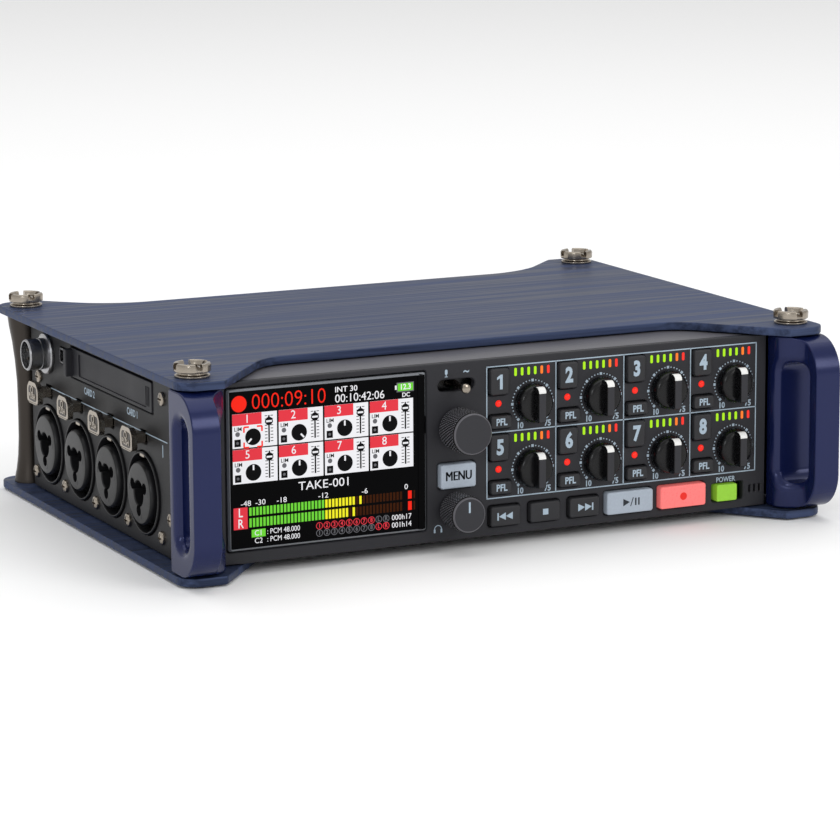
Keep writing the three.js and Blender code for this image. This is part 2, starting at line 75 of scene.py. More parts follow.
def linear(code):
    """An sRGB hex colour as linear red, green, blue and alpha."""
    parts = [int(code[i : i + 2], 16) / 255 for i in (1, 3, 5)]
    return [c / 12.92 if c <= 0.04045 else ((c + 0.055) / 1.055) ** 2.4 for c in parts] + [1.0]


PLATE_LOW, PLATE_HIGH = box("top_plate")
BASE_HIGH = box("bottom_plate")[1].z
FACE = box("front_panel")[0].y  # the front panel's outer face
SIDE = -box("left_side_panel")[0].x  # distance of a side sheet's outer face from the middle
JACK_Z = middle("left_input_board").z
LATCHES = {n: middle(f"jack_latch_{n}") for n in CHANNELS}


# ------------------------------------------------------------------ shapes, in millimetres

INK = 0.03  # printed legends stand this far proud, and reach as far in

PLANE = {
    "X": lambda u, v, w: (w, u, v),
    "Y": lambda u, v, w: (u, w, v),
    "Z": lambda u, v, w: (u, v, w),
}
SIDES = {
    "front": Vector((0, -1, 0)),
    "back": Vector((0, 1, 0)),
    "left": Vector((-1, 0, 0)),
    "right": Vector((1, 0, 0)),
    "up": Vector((0, 0, 1)),
    "down": Vector((0, 0, -1)),
}
UPRIGHT = Matrix.Rotation(math.pi / 2, 4, "X")
READING = {
    "front": UPRIGHT,
    "left": Matrix.Rotation(-math.pi / 2, 4, "Z") @ UPRIGHT,
    "right": Matrix.Rotation(math.pi / 2, 4, "Z") @ UPRIGHT,
    "back": Matrix.Rotation(math.pi, 4, "Z") @ UPRIGHT,
    "up": Matrix.Identity(4),
}


def rect(u, v, w, h):
    """The four corners of a rectangle about (u, v)."""
    return [(u - w / 2, v - h / 2), (u + w / 2, v - h / 2), (u + w / 2, v + h / 2), (u - w / 2, v + h / 2)]


def outline(low, high, axes="xz"):
    """The four corners between two places, seen along the third axis."""
    (u0, v0), (u1, v1) = ([getattr(place, axis) for axis in axes] for place in (low, high))
    return [(u0, v0), (u1, v0), (u1, v1), (u0, v1)]


def flat(bm, corners, level, axis, radii, steps):
    """Adds one flat face through the corners, each rounded by a vertex bevel."""
    verts = [bm.verts.new(PLANE[axis](u, v, level)) for u, v in corners]
    face = bm.faces.new(verts)
    radii = radii if isinstance(radii, (list, tuple)) else [radii] * len(corners)
    for radius in sorted(set(radii) - {0}):
        chosen = [v for v, r in zip(verts, radii) if r == radius]
        bmesh.ops.bevel(
            bm, geom=chosen, offset=radius, offset_type="OFFSET", segments=steps,
            profile=0.5, affect="VERTICES", material=-1,
        )
    return face


def break_edges(bm, edges, size, steps=2):
    """Rounds the given edges."""
    bmesh.ops.bevel(
        bm, geom=edges, offset=size, offset_type="OFFSET", segments=steps,
        profile=0.5, affect="EDGES", material=-1, clamp_overlap=True,
    )


def prism(corners, near, far, axis="Y", radii=0, rim=0, back_rim=0, steps=5, rim_steps=2):
    """A flat outline run from near to far, with its near and far rims rounded."""
    bm = bmesh.new()
    flat(bm, corners, near, axis, radii, steps)
    grown = bmesh.ops.extrude_face_region(bm, geom=bm.faces[:])["geom"]
    moved = [v for v in grown if isinstance(v, bmesh.types.BMVert)]
    bmesh.ops.translate(bm, vec=PLANE[axis](0, 0, far - near), verts=moved)
    bmesh.ops.recalc_face_normals(bm, faces=bm.faces)
    along = "XYZ".index(axis)
    for level, size in ((near, rim), (far, back_rim)):
        if size:
            ring = [e for e in bm.edges if all(abs(v.co[along] - level) < 1e-4 for v in e.verts)]
            break_edges(bm, ring, size, rim_steps)
    return bm


def block(low, high, rim=0.0):
    """A box between two corners, with its edges broken."""
    bm = bmesh.new()
    bmesh.ops.create_cube(bm, size=1)
    size = Vector(high) - Vector(low)
    bmesh.ops.scale(bm, vec=size, verts=bm.verts)
    bmesh.ops.translate(bm, vec=(Vector(low) + Vector(high)) / 2, verts=bm.verts)
    if rim:
        break_edges(bm, bm.edges[:], rim)
    return bm


def turned(profile, towards, at, steps=40, edge=0.0, closed=False):
    """Spins [radius, height] points about an axis that starts at a place and runs towards a side."""
    bm = bmesh.new()
    along = SIDES[towards]
    out = Vector((1, 0, 0)) if abs(along.z) > 0.5 else Vector((0, 0, 1))
    verts = [bm.verts.new(Vector(at) + out * r + along * h) for r, h in profile]
    pairs = list(zip(verts, verts[1:])) + ([(verts[-1], verts[0])] if closed else [])
    edges = [bm.edges.new(pair) for pair in pairs]
    bmesh.ops.spin(
        bm, geom=verts + edges, cent=at, axis=along, angle=2 * math.pi, steps=steps, use_merge=True
    )
    bmesh.ops.remove_doubles(bm, verts=bm.verts, dist=1e-4)
    bmesh.ops.recalc_face_normals(bm, faces=bm.faces)
    if edge:
        sharp = [e for e in bm.edges if len(e.link_faces) == 2 and e.calc_face_angle() > 0.6]
        break_edges(bm, sharp, edge)
    return bm


def rod(radius, near, far, towards, at, steps=32):
    """A plain round bar between two heights."""
    return turned([(0, near), (radius, near), (radius, far), (0, far)], towards, at, steps)


def tube(inner, outer, near, far, towards, at, steps=32):
    """A plain round sleeve between two heights."""
    profile = [(inner, near), (outer, near), (outer, far), (inner, far)]
    return turned(profile, towards, at, steps, closed=True)


def perforated(outer, openings, near, far, axis="Y", radius=0.0, rim=0.25):
    """A sheet whose openings are (u, v, width, height, corner) or (u, v, radius), with broken front edges."""
    bm = bmesh.new()
    sign = 1 if far > near else -1
    face = flat(bm, outer, near, axis, radius, 5)
    for opening in openings:
        if len(opening) == 5:
            u, v, w, h, r = opening
            flat(bm, rect(u, v, w, h), near, axis, r, 4)
        else:
            u, v, r = opening
            ring = bmesh.ops.create_circle(bm, cap_ends=False, radius=r, segments=28)["verts"]
            for vert in ring:
                vert.co = PLANE[axis](u + vert.co.x, v + vert.co.y, near)
    bmesh.ops.delete(bm, geom=bm.faces[:], context="FACES_ONLY")
    bmesh.ops.triangle_fill(bm, edges=bm.edges[:], use_beauty=True)
    bmesh.ops.recalc_face_normals(bm, faces=bm.faces)
    inner = bm.faces[:]
    bmesh.ops.inset_region(bm, faces=inner, thickness=rim, use_boundary=True, use_even_offset=True)
    front = {v for f in inner for v in f.verts}
    border = [v for v in bm.verts if v not in front]
    bmesh.ops.translate(bm, vec=PLANE[axis](0, 0, sign * rim), verts=border)
    edges = [e for e in bm.edges if e.is_boundary]
    grown = bmesh.ops.extrude_edge_only(bm, edges=edges)["geom"]
    moved = [v for v in grown if isinstance(v, bmesh.types.BMVert)]
    bmesh.ops.translate(bm, vec=PLANE[axis](0, 0, far - near - sign * rim), verts=moved)
    rear = [e for e in grown if isinstance(e, bmesh.types.BMEdge)]
    bmesh.ops.triangle_fill(bm, edges=rear, use_beauty=True)
    bmesh.ops.recalc_face_normals(bm, faces=bm.faces)
    return bm


def lettering(words, size, at, facing="front", wide=0.82, bold=0.02, align="CENTER", depth=0.03):
    """Words as thin closed solids, centred on a place and read from one side."""
    curve = bpy.data.curves.new("words", "FONT")
    curve.body, curve.size, curve.extrude, curve.offset = words, size, depth, bold * size
    curve.align_x, curve.align_y, curve.resolution_u = align, "CENTER", 3
    holder = bpy.data.objects.new("words", curve)
    bpy.context.scene.collection.objects.link(holder)
    shown = holder.evaluated_get(bpy.context.evaluated_depsgraph_get())
    bm = bmesh.new()
    bm.from_mesh(shown.to_mesh())
    shown.to_mesh_clear()
    bpy.data.objects.remove(holder)
    bpy.data.curves.remove(curve)
    place = Matrix.Translation(at) @ READING[facing] @ Matrix.Diagonal((wide, 1, 1, 1))
    bmesh.ops.transform(bm, matrix=place, verts=bm.verts)
    bmesh.ops.remove_doubles(bm, verts=bm.verts, dist=1e-4)
    return bm


def carved(body, *cutters):
    """The body with the cutters taken away."""
    holders = []
    for shape in (body, *cutters):
        mesh = bpy.data.meshes.new("carving")
        shape.to_mesh(mesh)
        shape.free()
        holders.append(bpy.data.objects.new("carving", mesh))
        bpy.context.scene.collection.objects.link(holders[-1])
    for cutter in holders[1:]:
        cut = holders[0].modifiers.new("cut", "BOOLEAN")
        cut.operation, cut.solver, cut.object = "DIFFERENCE", "EXACT", cutter
    shown = holders[0].evaluated_get(bpy.context.evaluated_depsgraph_get())
    result = bmesh.new()
    result.from_mesh(shown.to_mesh())
    shown.to_mesh_clear()
    for holder in holders:
        mesh = holder.data
        bpy.data.objects.remove(holder)
        bpy.data.meshes.remove(mesh)
    return result


def mirrored(shape):
    """The shape on the other side of the middle plane."""
    bmesh.ops.scale(shape, vec=(-1, 1, 1), verts=shape.verts)
    bmesh.ops.recalc_face_normals(shape, faces=shape.faces)
    return shape


def coated(surface, *shapes):
    """Pairs each shape with the name of its finish."""
    return [(shape, surface) for shape in shapes]


def piece(name, body, parts, replaces=(), sharp=35):
    """Joins shapes, each with its finish, into one object that rides on a body of the frame."""
    whole = bmesh.new()
    finishes = []
    for shape, names in parts:
        names = names if isinstance(names, tuple) else (names,)
        for face in shape.faces:
            chosen = names[min(face.material_index, len(names) - 1)]
            if chosen not in finishes:
                finishes.append(chosen)
            face.material_index = finishes.index(chosen)
        scratch = bpy.data.meshes.new("scratch")
        shape.to_mesh(scratch)
        shape.free()
        whole.from_mesh(scratch)
        bpy.data.meshes.remove(scratch)
    bmesh.ops.scale(whole, vec=(0.001, 0.001, 0.001), verts=whole.verts)
    mesh = bpy.data.meshes.new(name)
    whole.to_mesh(mesh)
    whole.free()
    for finish in finishes:
        mesh.materials.append(material(finish))
    mesh.shade_smooth()
    mesh.set_sharp_from_angle(angle=math.radians(sharp))
    thing = bpy.data.objects.new(name, mesh)
    bpy.context.scene.collection.objects.link(thing)
    even = thing.modifiers.new("even_shading", "WEIGHTED_NORMAL")
    even.keep_sharp = True
    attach(thing, body)
    if replaces:
        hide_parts(*replaces)
    return thing


# ------------------------------------------------------------------ finishes


def put(tree, kind, sockets=None, **properties):
    """Adds a node with its properties, and its sockets' values or links."""
    made = tree.nodes.new(kind)
    for name, value in properties.items():
        setattr(made, name, value)
    for name, value in (sockets or {}).items():
        if isinstance(value, bpy.types.NodeSocket):
            tree.links.new(value, made.inputs[name])
        else:
            made.inputs[name].default_value = value
    return made


def finish(
    name, colour, roughness, metallic=0.0, specular=0.3, coat=0.0, grain=0.4, stretch=(1, 1, 1),
    shade=0.08, polish=0.08, relief=0.01, glow=0.0, contrast=1.0, cloud=16.7,
):
    """A surface with a grain and a slower cloud of tone, both of a given size in millimetres."""
    made = bpy.data.materials.new(name)
    made.use_nodes = True
    tree = made.node_tree
    tree.nodes.clear()
    where = put(tree, "ShaderNodeTexCoord").outputs["Object"]
    along = put(tree, "ShaderNodeMapping", {"Vector": where, "Scale": stretch}).outputs[0]
    fine = put(
        tree, "ShaderNodeTexNoise",
        {"Vector": along, "Scale": 1000 / grain, "Detail": 4.0, "Roughness": 0.65},
    ).outputs["Fac"]
    broad = put(
        tree, "ShaderNodeTexNoise", {"Vector": along, "Scale": 1000 / cloud, "Detail": 2.0}
    ).outputs["Fac"]
    mixed = put(tree, "ShaderNodeMath", {0: fine, 1: broad}, operation="ADD").outputs[0]
    span = {"Value": mixed, "From Min": 1 - 0.35 / contrast, "From Max": 1 + 0.35 / contrast}
    tone = put(tree, "ShaderNodeMapRange", {**span, "To Min": 0.0, "To Max": 1.0}).outputs[0]
    lit = 0.25 if glow > 0.4 else 1.0  # a lamp's own surface is dark: its colour is its light
    dark = [c * lit * (1 - shade) for c in colour[:3]] + [1.0]
    light = [min(1.0, c * lit * (1 + shade)) for c in colour[:3]] + [1.0]
    blend = put(tree, "ShaderNodeMix", {0: tone, 6: dark, 7: light}, data_type="RGBA").outputs[2]
    rough = put(
        tree, "ShaderNodeMapRange",
        {**span, "To Min": max(0.02, roughness - polish), "To Max": min(1.0, roughness + polish)},
    ).outputs[0]
    shader = put(
        tree, "ShaderNodeBsdfPrincipled",
        {
            "Base Color": blend, "Roughness": rough, "Metallic": metallic,
            "Specular IOR Level": specular, "Coat Weight": coat,
            "Emission Color": colour, "Emission Strength": glow,
        },
    )
    if relief:
        bump = put(
            tree, "ShaderNodeBump", {"Height": fine, "Strength": 0.6, "Distance": relief / 1000}
        ).outputs[0]
        tree.links.new(bump, shader.inputs["Normal"])
    put(tree, "ShaderNodeOutputMaterial", {"Surface": shader.outputs[0]})
    return made


# Each entry is the material's common name and how it was made, then its settings.
FINISHES = {
    # Anodised aluminium, brushed along the width: long fine streaks and a dull metal sheen.
    "brushed_anodised_aluminium": dict(
        colour="plate", roughness=0.46, metallic=0.4, specular=0.08, grain=0.8, stretch=(0.018, 1, 1),
        shade=0.36, polish=0.14, relief=0.03, contrast=2.2, cloud=1.9,
    ),
    # Die-cast aluminium under clear coated navy enamel: smooth, with bright soft reflections.
    "navy_enamel": dict(
        colour="handle", roughness=0.23, metallic=0.35, specular=0.45, grain=0.6, shade=0.05,
        polish=0.04, relief=0.0,
    ),
    # Nickel plate on turned steel: warm grey metal with fine turning marks.
    "nickel_plate": dict(
        colour="nickel", roughness=0.24, metallic=1.0, grain=0.25, stretch=(1, 1, 3),
        shade=0.2, polish=0.1, relief=0.01,
    ),
    # Black nickel on the pillars: darker and softer than the screws.
    "black_nickel": dict(colour="pillar", roughness=0.36, metallic=0.8, grain=0.3, polish=0.06),
    # ABS moulded in a spark-eroded tool: even charcoal with a very fine texture.
    "moulded_abs": dict(colour="panel", roughness=0.5, specular=0.22, grain=0.28, shade=0.06, relief=0.012),
    # The same ABS painted paler: a painted highlight of the light on the panel's top ledge and on the dials' rims.
    "satin_abs": dict(colour="ledge", roughness=0.38, specular=0.35, grain=0.3, shade=0.05, relief=0.006),
    # Powder-coated steel sheet: nearly black, slightly pebbled.
    "powder_coated_steel": dict(colour="sheet", roughness=0.46, specular=0.2, grain=0.35, relief=0.02),
    # The dials' front faces, fine-turned in the mould; the same paler tone on the gain dials' bars is a painted sheen.
    "turned_abs": dict(colour="face", roughness=0.42, specular=0.22, grain=0.3, shade=0.05, relief=0.004),
    # The dials' diamond-pressed grips.
    "knurled_abs": dict(colour="grip", roughness=0.4, specular=0.2, grain=0.3, shade=0.05, relief=0.0),
    # The points of those diamonds, painted paler as a painted highlight of their glints.
    "knurl_points_painted_highlight": dict(
        colour="grip_point", roughness=0.25, specular=0.6, grain=0.3, shade=0.05, relief=0.0
    ),
    # Silicone rubber keys: matt and faintly dusty.
    "silicone_rubber": dict(colour="key", roughness=0.5, specular=0.3, grain=0.22, relief=0.008),
    # Polished black ABS of the dials.
    "polished_abs": dict(
        colour="knob", roughness=0.27, specular=0.3, grain=0.5, polish=0.05, relief=0.003
    ),
    # Satin black nylon of the jacks, glass filled and moulded.
    "moulded_nylon": dict(colour="jack", roughness=0.36, specular=0.3, grain=0.3, polish=0.07, relief=0.008),
    # White enamel paint on the dials' tips.
    "white_paint": dict(colour="tip", roughness=0.3, grain=0.3, relief=0.0, shade=0.03),
    # Screen-printed ink.
    "printing_ink": dict(colour="ink", roughness=0.55, grain=0.2, relief=0.0, shade=0.04),
    "dark_ink": dict(colour="dark_ink", roughness=0.5, grain=0.2, relief=0.0, shade=0.04),
    "red_ink": dict(colour="red_ink", roughness=0.4, grain=0.2, relief=0.0, shade=0.04, glow=0.7),
    # Milky polycarbonate keys with a lamp behind.
    "milky_polycarbonate": dict(colour="clear_key", roughness=0.34, grain=0.6, relief=0.003),
    "lit_red_polycarbonate": dict(colour="red_key", roughness=0.3, grain=0.6, relief=0.003, glow=0.3),
    "lit_green_polycarbonate": dict(colour="green_key", roughness=0.32, grain=0.6, relief=0.003, glow=0.15),
    # Clear acrylic lamp lenses.
    **{
        f"{tone}_lens": dict(colour=f"{tone}_lamp", roughness=0.2, relief=0.0, glow=0.85)
        for tone in ("green", "amber", "red")
    },
    # The display: black glass, and the coloured dots that glow behind it.
    "display_glass": dict(
        colour="screen_black", roughness=0.2, specular=0.04, grain=2.0, polish=0.02, relief=0.0
    ),
    **{
        f"screen_{tone}": dict(
            colour=f"screen_{tone}", roughness=0.3, specular=0.04, relief=0.0, glow=glow, shade=shade
        )
        for tone, glow, shade in (
            ("white", 0.72, 0.02), ("red", 0.85, 0.02), ("rose", 0.8, 0.04), ("green", 0.75, 0.02),
            ("yellow", 0.8, 0.02), ("grey", 0.5, 0.02), ("dark", 0.0, 0.02), ("brown", 0.0, 0.02),
        )
    },
    # Gold-plated contacts, solder-masked board and tinned shells; the display's edge is a real bevel painted
    # silver-grey as a painted highlight.
    "gold_plate": dict(colour="gold", roughness=0.25, metallic=1.0, grain=0.3, relief=0.004),
    "solder_mask": dict(colour="board", roughness=0.45, grain=1.2, shade=0.2, relief=0.01),
    "bright_tin": dict(colour="tin", roughness=0.28, metallic=1.0, grain=0.3, relief=0.006),
    "bevel_plastic": dict(colour="frame_edge", roughness=0.4, metallic=0.4, grain=0.5, relief=0.0),
}
COLOURS = {
    "plate": ("Plates", "#3b4560"),
    "handle": ("Handles", "#121c49"),
    "nickel": ("Screws and latches", "#a0978b"),
    "pillar": ("Rear pillars", "#403b37"),
    "panel": ("Front panel", "#2a2a2e"),
    "ledge": ("Panel ledge", "#57565b"),
    "face": ("Dial faces", "#303034"),
    "grip": ("Dial grips", "#0c0c0e"),
    "grip_point": ("Dial grip points", "#6c6c72"),
    "sheet": ("Side sheets", "#1c1c1e"),
    "key": ("Rubber keys", "#29292c"),
    "knob": ("Dials", "#08080a"),
    "jack": ("Jacks", "#161618"),
    "tip": ("Dial tips", "#e4e4e2"),
    "ink": ("Printed legends", "#a3b4c2"),
    "dark_ink": ("Dark legends", "#23272d"),
    "red_ink": ("Record dot", "#f0281c"),
    "clear_key": ("Clear keys", "#a4aeba"),
    "red_key": ("Record key", "#e8716f"),
    "green_key": ("Power key", "#8cc437"),
    "green_lamp": ("Green lamps", "#a8e400"),
    "amber_lamp": ("Amber lamps", "#ff7a1c"),
    "red_lamp": ("Red lamps", "#ff2a1c"),
    "screen_black": ("Display, off", "#020203"),
    "screen_white": ("Display, white", "#f2f2f6"),
    "screen_red": ("Display, red", "#f0281a"),
    "screen_rose": ("Display, rose", "#e03a46"),
    "screen_green": ("Display, green", "#6fd63c"),
    "screen_yellow": ("Display, yellow", "#f0ea28"),
    "screen_grey": ("Display, grey", "#77777c"),
    "screen_dark": ("Display, dark", "#0c0c0e"),
    "screen_brown": ("Display, dim", "#3a1a06"),
    "gold": ("Contacts", "#d8b25a"),
    "board": ("Circuit board", "#1c5138"),
    "tin": ("Connector shells", "#9c9c9e"),
    "frame_edge": ("Display edge", "#74777c"),
}


def material(name):
    """The finish of that name, made when it is first asked for."""
    if name in bpy.data.materials:
        return bpy.data.materials[name]
    settings = dict(FINISHES[name])
    colour = list(getattr(bpy.context.scene.recorder_colours, settings.pop("colour")))
    return finish(name, colour, **settings)


class RecorderColours(bpy.types.PropertyGroup):
    """The colours of the recorder's finishes."""

    __annotations__ = {
        key: bpy.props.FloatVectorProperty(
            name=label, description=f"Colour of: {label.lower()}", default=linear(code),
            size=4, min=0, max=1, subtype="COLOR",
        )
        for key, (label, code) in COLOURS.items()
    }


class RecorderSizes(bpy.types.PropertyGroup):
    """Small sizes that only the finish needs."""

    plate_edge: bpy.props.FloatProperty(
        name="Plate edge", description="Rounding of the plates' edges, in millimetres",
        default=0.35, min=0.05, max=0.8,
    )
    key_edge: bpy.props.FloatProperty(
        name="Key edge", description="Rounding of the key caps' edges, in millimetres",
        default=0.45, min=0.1, max=0.6,
    )
    line: bpy.props.FloatProperty(
        name="Printed line", description="Width of the printed lines, in millimetres",
        default=0.28, min=0.1, max=0.6,
    )
    slot_flare: bpy.props.FloatProperty(
        name="Slot flare", description="Rounding of the handle slots' edges, in millimetres",
        default=2.3, min=0.5, max=2.6,
    )


# ------------------------------------------------------------------ plates, screws, guards

PLATE_CORNERS = [  # one quarter of the plate's outline: x, y and corner rounding
    (89.1, -66.35, 5.0),
    (77.8, -66.35, 0.5),
    (57.6, -42.3, 5.6),
]
SCREW_X, SCREW_Y = 82.8, 58.2  # the corner screws' distances from the middle
PLATE_REAR = [(61.5, 50.5, 9.5), (77.8, 66.35, 0.5), (89.1, 66.35, 5.0)]


def plate_outline():
    """The plate's corners in order, with their roundings."""
    right_front = PLATE_CORNERS
    left_front = [(-x, y, r) for x, y, r in reversed(right_front)]
    left_rear = [(-x, y, r) for x, y, r in reversed(PLATE_REAR)]
    corners = [*left_rear, *PLATE_REAR, *right_front, *left_front]
    return [(x, y) for x, y, _ in corners], [r for _, _, r in corners]


class RECORDER_OT_plates(bpy.types.Operator):
    """Top and base plate with softened edges"""

    bl_idname = "recorder.plates"
    bl_label = "Plates"

    def execute(self, context):
        edge = context.scene.recorder_sizes.plate_edge
        corners, radii = plate_outline()
        for name in ("top_plate", "bottom_plate"):
            low, high = box(name)
            shape = prism(corners, low.z, high.z, "Z", radii, edge, edge, steps=8)
            piece(f"{name}_brushed", CHASSIS, [(shape, "brushed_anodised_aluminium")],
                  [name], sharp=28)
        cupped = [(0, 0.5), (3, 0.5), (3, 0.02), (2.6, 0.02), (1.2, 0.3), (0, 0.3)]
        base = [turned(cupped, "up", (x, y, 0), 24) for x in (-60, 60) for y in (-30, 40)]
        piece("base_screws", CHASSIS, coated("black_nickel", *base))
        return {"FINISHED"}


def corner_screw(x, y):
    """A cupped screw head with four slots over a washer."""
    top = box("rear_post_left")[1].z
    seat = PLATE_HIGH.z + 0.02
    head = turned(
        [
            (0, seat), (4.25, seat), (4.3, seat + 0.55), (3.6, seat + 0.8), (3.5, seat + 1.15),
            (4.5, seat + 1.45), (4.55, top - 0.5), (4.25, top), (3.45, top), (3.1, top - 0.5),
            (3.0, top - 1.1), (1.2, top - 0.75), (0, top - 0.7),
        ],
        "up", (x, y, 0), 48, edge=0.12,
    )
    slots = [
        block((x - 0.85, y - 6, top - 1.45), (x + 0.85, y + 6, top + 1)),
        block((x - 6, y - 0.85, top - 1.45), (x + 6, y + 0.85, top + 1)),
    ]
    return carved(head, *slots)


def guard_loop():
    """The right-hand guard: a D-shaped loop about an upright slot, thinner towards its front."""
    low, high = box("handle_right")
    z0, z1 = box("left_side_panel")[0].z, PLATE_LOW.z - 0.3
    x0, x1 = low.x, high.x
    y0, y1 = low.y, -57.6
    slot = rect(-65, 24.75, 7, 31.5)
    flare = bpy.context.scene.recorder_sizes.slot_flare
    bm = bmesh.new()
    flat(bm, [(y0, z0), (y1, z0), (y1, z1), (y0, z1)], x0, "X", [9.5, 0.8, 0.8, 9.5], 12)
    flat(bm, slot, x0, "X", 3.49, 12)
    bmesh.ops.delete(bm, geom=bm.faces[:], context="FACES_ONLY")
    bmesh.ops.bridge_loops(bm, edges=bm.edges[:])
    grown = bmesh.ops.extrude_face_region(bm, geom=bm.faces[:])["geom"]
    bmesh.ops.translate(
        bm, vec=(x1 - x0, 0, 0), verts=[v for v in grown if isinstance(v, bmesh.types.BMVert)]
    )
    bmesh.ops.recalc_face_normals(bm, faces=bm.faces)

    def rim(inside):
        """The edges of both faces along the slot or along the outline."""
        found = []
        for e in bm.edges:
            a, b = (v.co for v in e.verts)
            if abs(a.x - b.x) > 1e-4 or len(e.link_faces) != 2:
                continue
            walls = [f for f in e.link_faces if abs(f.normal.x) < 0.5]
            if len(walls) != 1:
                continue
            near = all(-68.6 < v.co.y < -61.4 and 8.9 < v.co.z < 40.6 for v in e.verts)
            if near == inside:
                found.append(e)
        return found

    break_edges(bm, rim(True), flare, 7)
    break_edges(bm, rim(False), 1.1, 4)
    for i in range(10):
        bmesh.ops.bisect_plane(
            bm, geom=bm.verts[:] + bm.edges[:] + bm.faces[:],
            plane_co=(0, -60.8 - 0.85 * i, 0), plane_no=(0, 1, 0),
        )
    for v in bm.verts:  # the inner side leans outwards towards the front bar
        lean = min(1.0, max(0.0, (-61 - v.co.y) / 8.0))
        inner = x0 + (81.7 - 76.3) * lean * lean * (3 - 2 * lean)
        v.co.x = inner + (v.co.x - x0) * (x1 - inner) / (x1 - x0)
    return bm


class RECORDER_OT_guards(bpy.types.Operator):
    """Front guards, rear pillars and the four corner screws"""

    bl_idname = "recorder.guards"
    bl_label = "Guards and pillars"

    def execute(self, context):
        for side, loop in (("right", guard_loop()), ("left", mirrored(guard_loop()))):
            enamelled = coated("navy_enamel", loop)
            piece(f"handle_{side}_loop", CHASSIS, enamelled, [f"handle_{side}"])
        low, high = BASE_HIGH + 0.05, PLATE_LOW.z - 0.05
        for side, sign in (("right", 1), ("left", -1)):
            post = middle(f"rear_post_{side}")
            pillar = turned(
                [
                    (0, low), (4.2, low), (4.1, low + 1.2), (3.6, low + 3.5), (3.15, low + 7),
                    (2.9, low + 12), (2.85, low + 19), (2.95, low + 27), (3.4, low + 33), (4.0, low + 38),
                    (4.7, low + 42), (5.0, high - 0.8), (5.0, high), (0, high),
                ],
                "up", (post.x, post.y, 0), 48,
            )
            plated = coated("black_nickel", pillar)
            piece(f"rear_pillar_{side}", CHASSIS, plated, [f"rear_post_{side}"])
            for end, y in (("front", -SCREW_Y), ("rear", SCREW_Y)):
                screw = corner_screw(sign * SCREW_X, y)
                piece(f"corner_screw_{end}_{side}", CHASSIS, coated("nickel_plate", screw))
        return {"FINISHED"}


# ------------------------------------------------------------------ front panel

KEY_NODES = [
    "menu_key", "rewind_key", "stop_key", "forward_key", "play_key", "record_key",
    *[f"track_key_{n}" for n in CHANNELS], *[f"pfl_key_{n}" for n in CHANNELS],
]
EAR = 0.55  # how far a key's hidden ears reach past its cap


def cap(node):
    """A key cap's centre x and z, width, height and front level."""
    low, high = box(node)
    return (low.x + high.x) / 2, (low.z + high.z) / 2, high.x - low.x - 2 * EAR, high.z - low.z, low.y


def line(x0, z0, x1, z1, level=FACE):
    """A printed line on the front panel or a key, flat and a hair proud."""
    return block((x0, level - INK, z0), (x1, level + INK, z1))


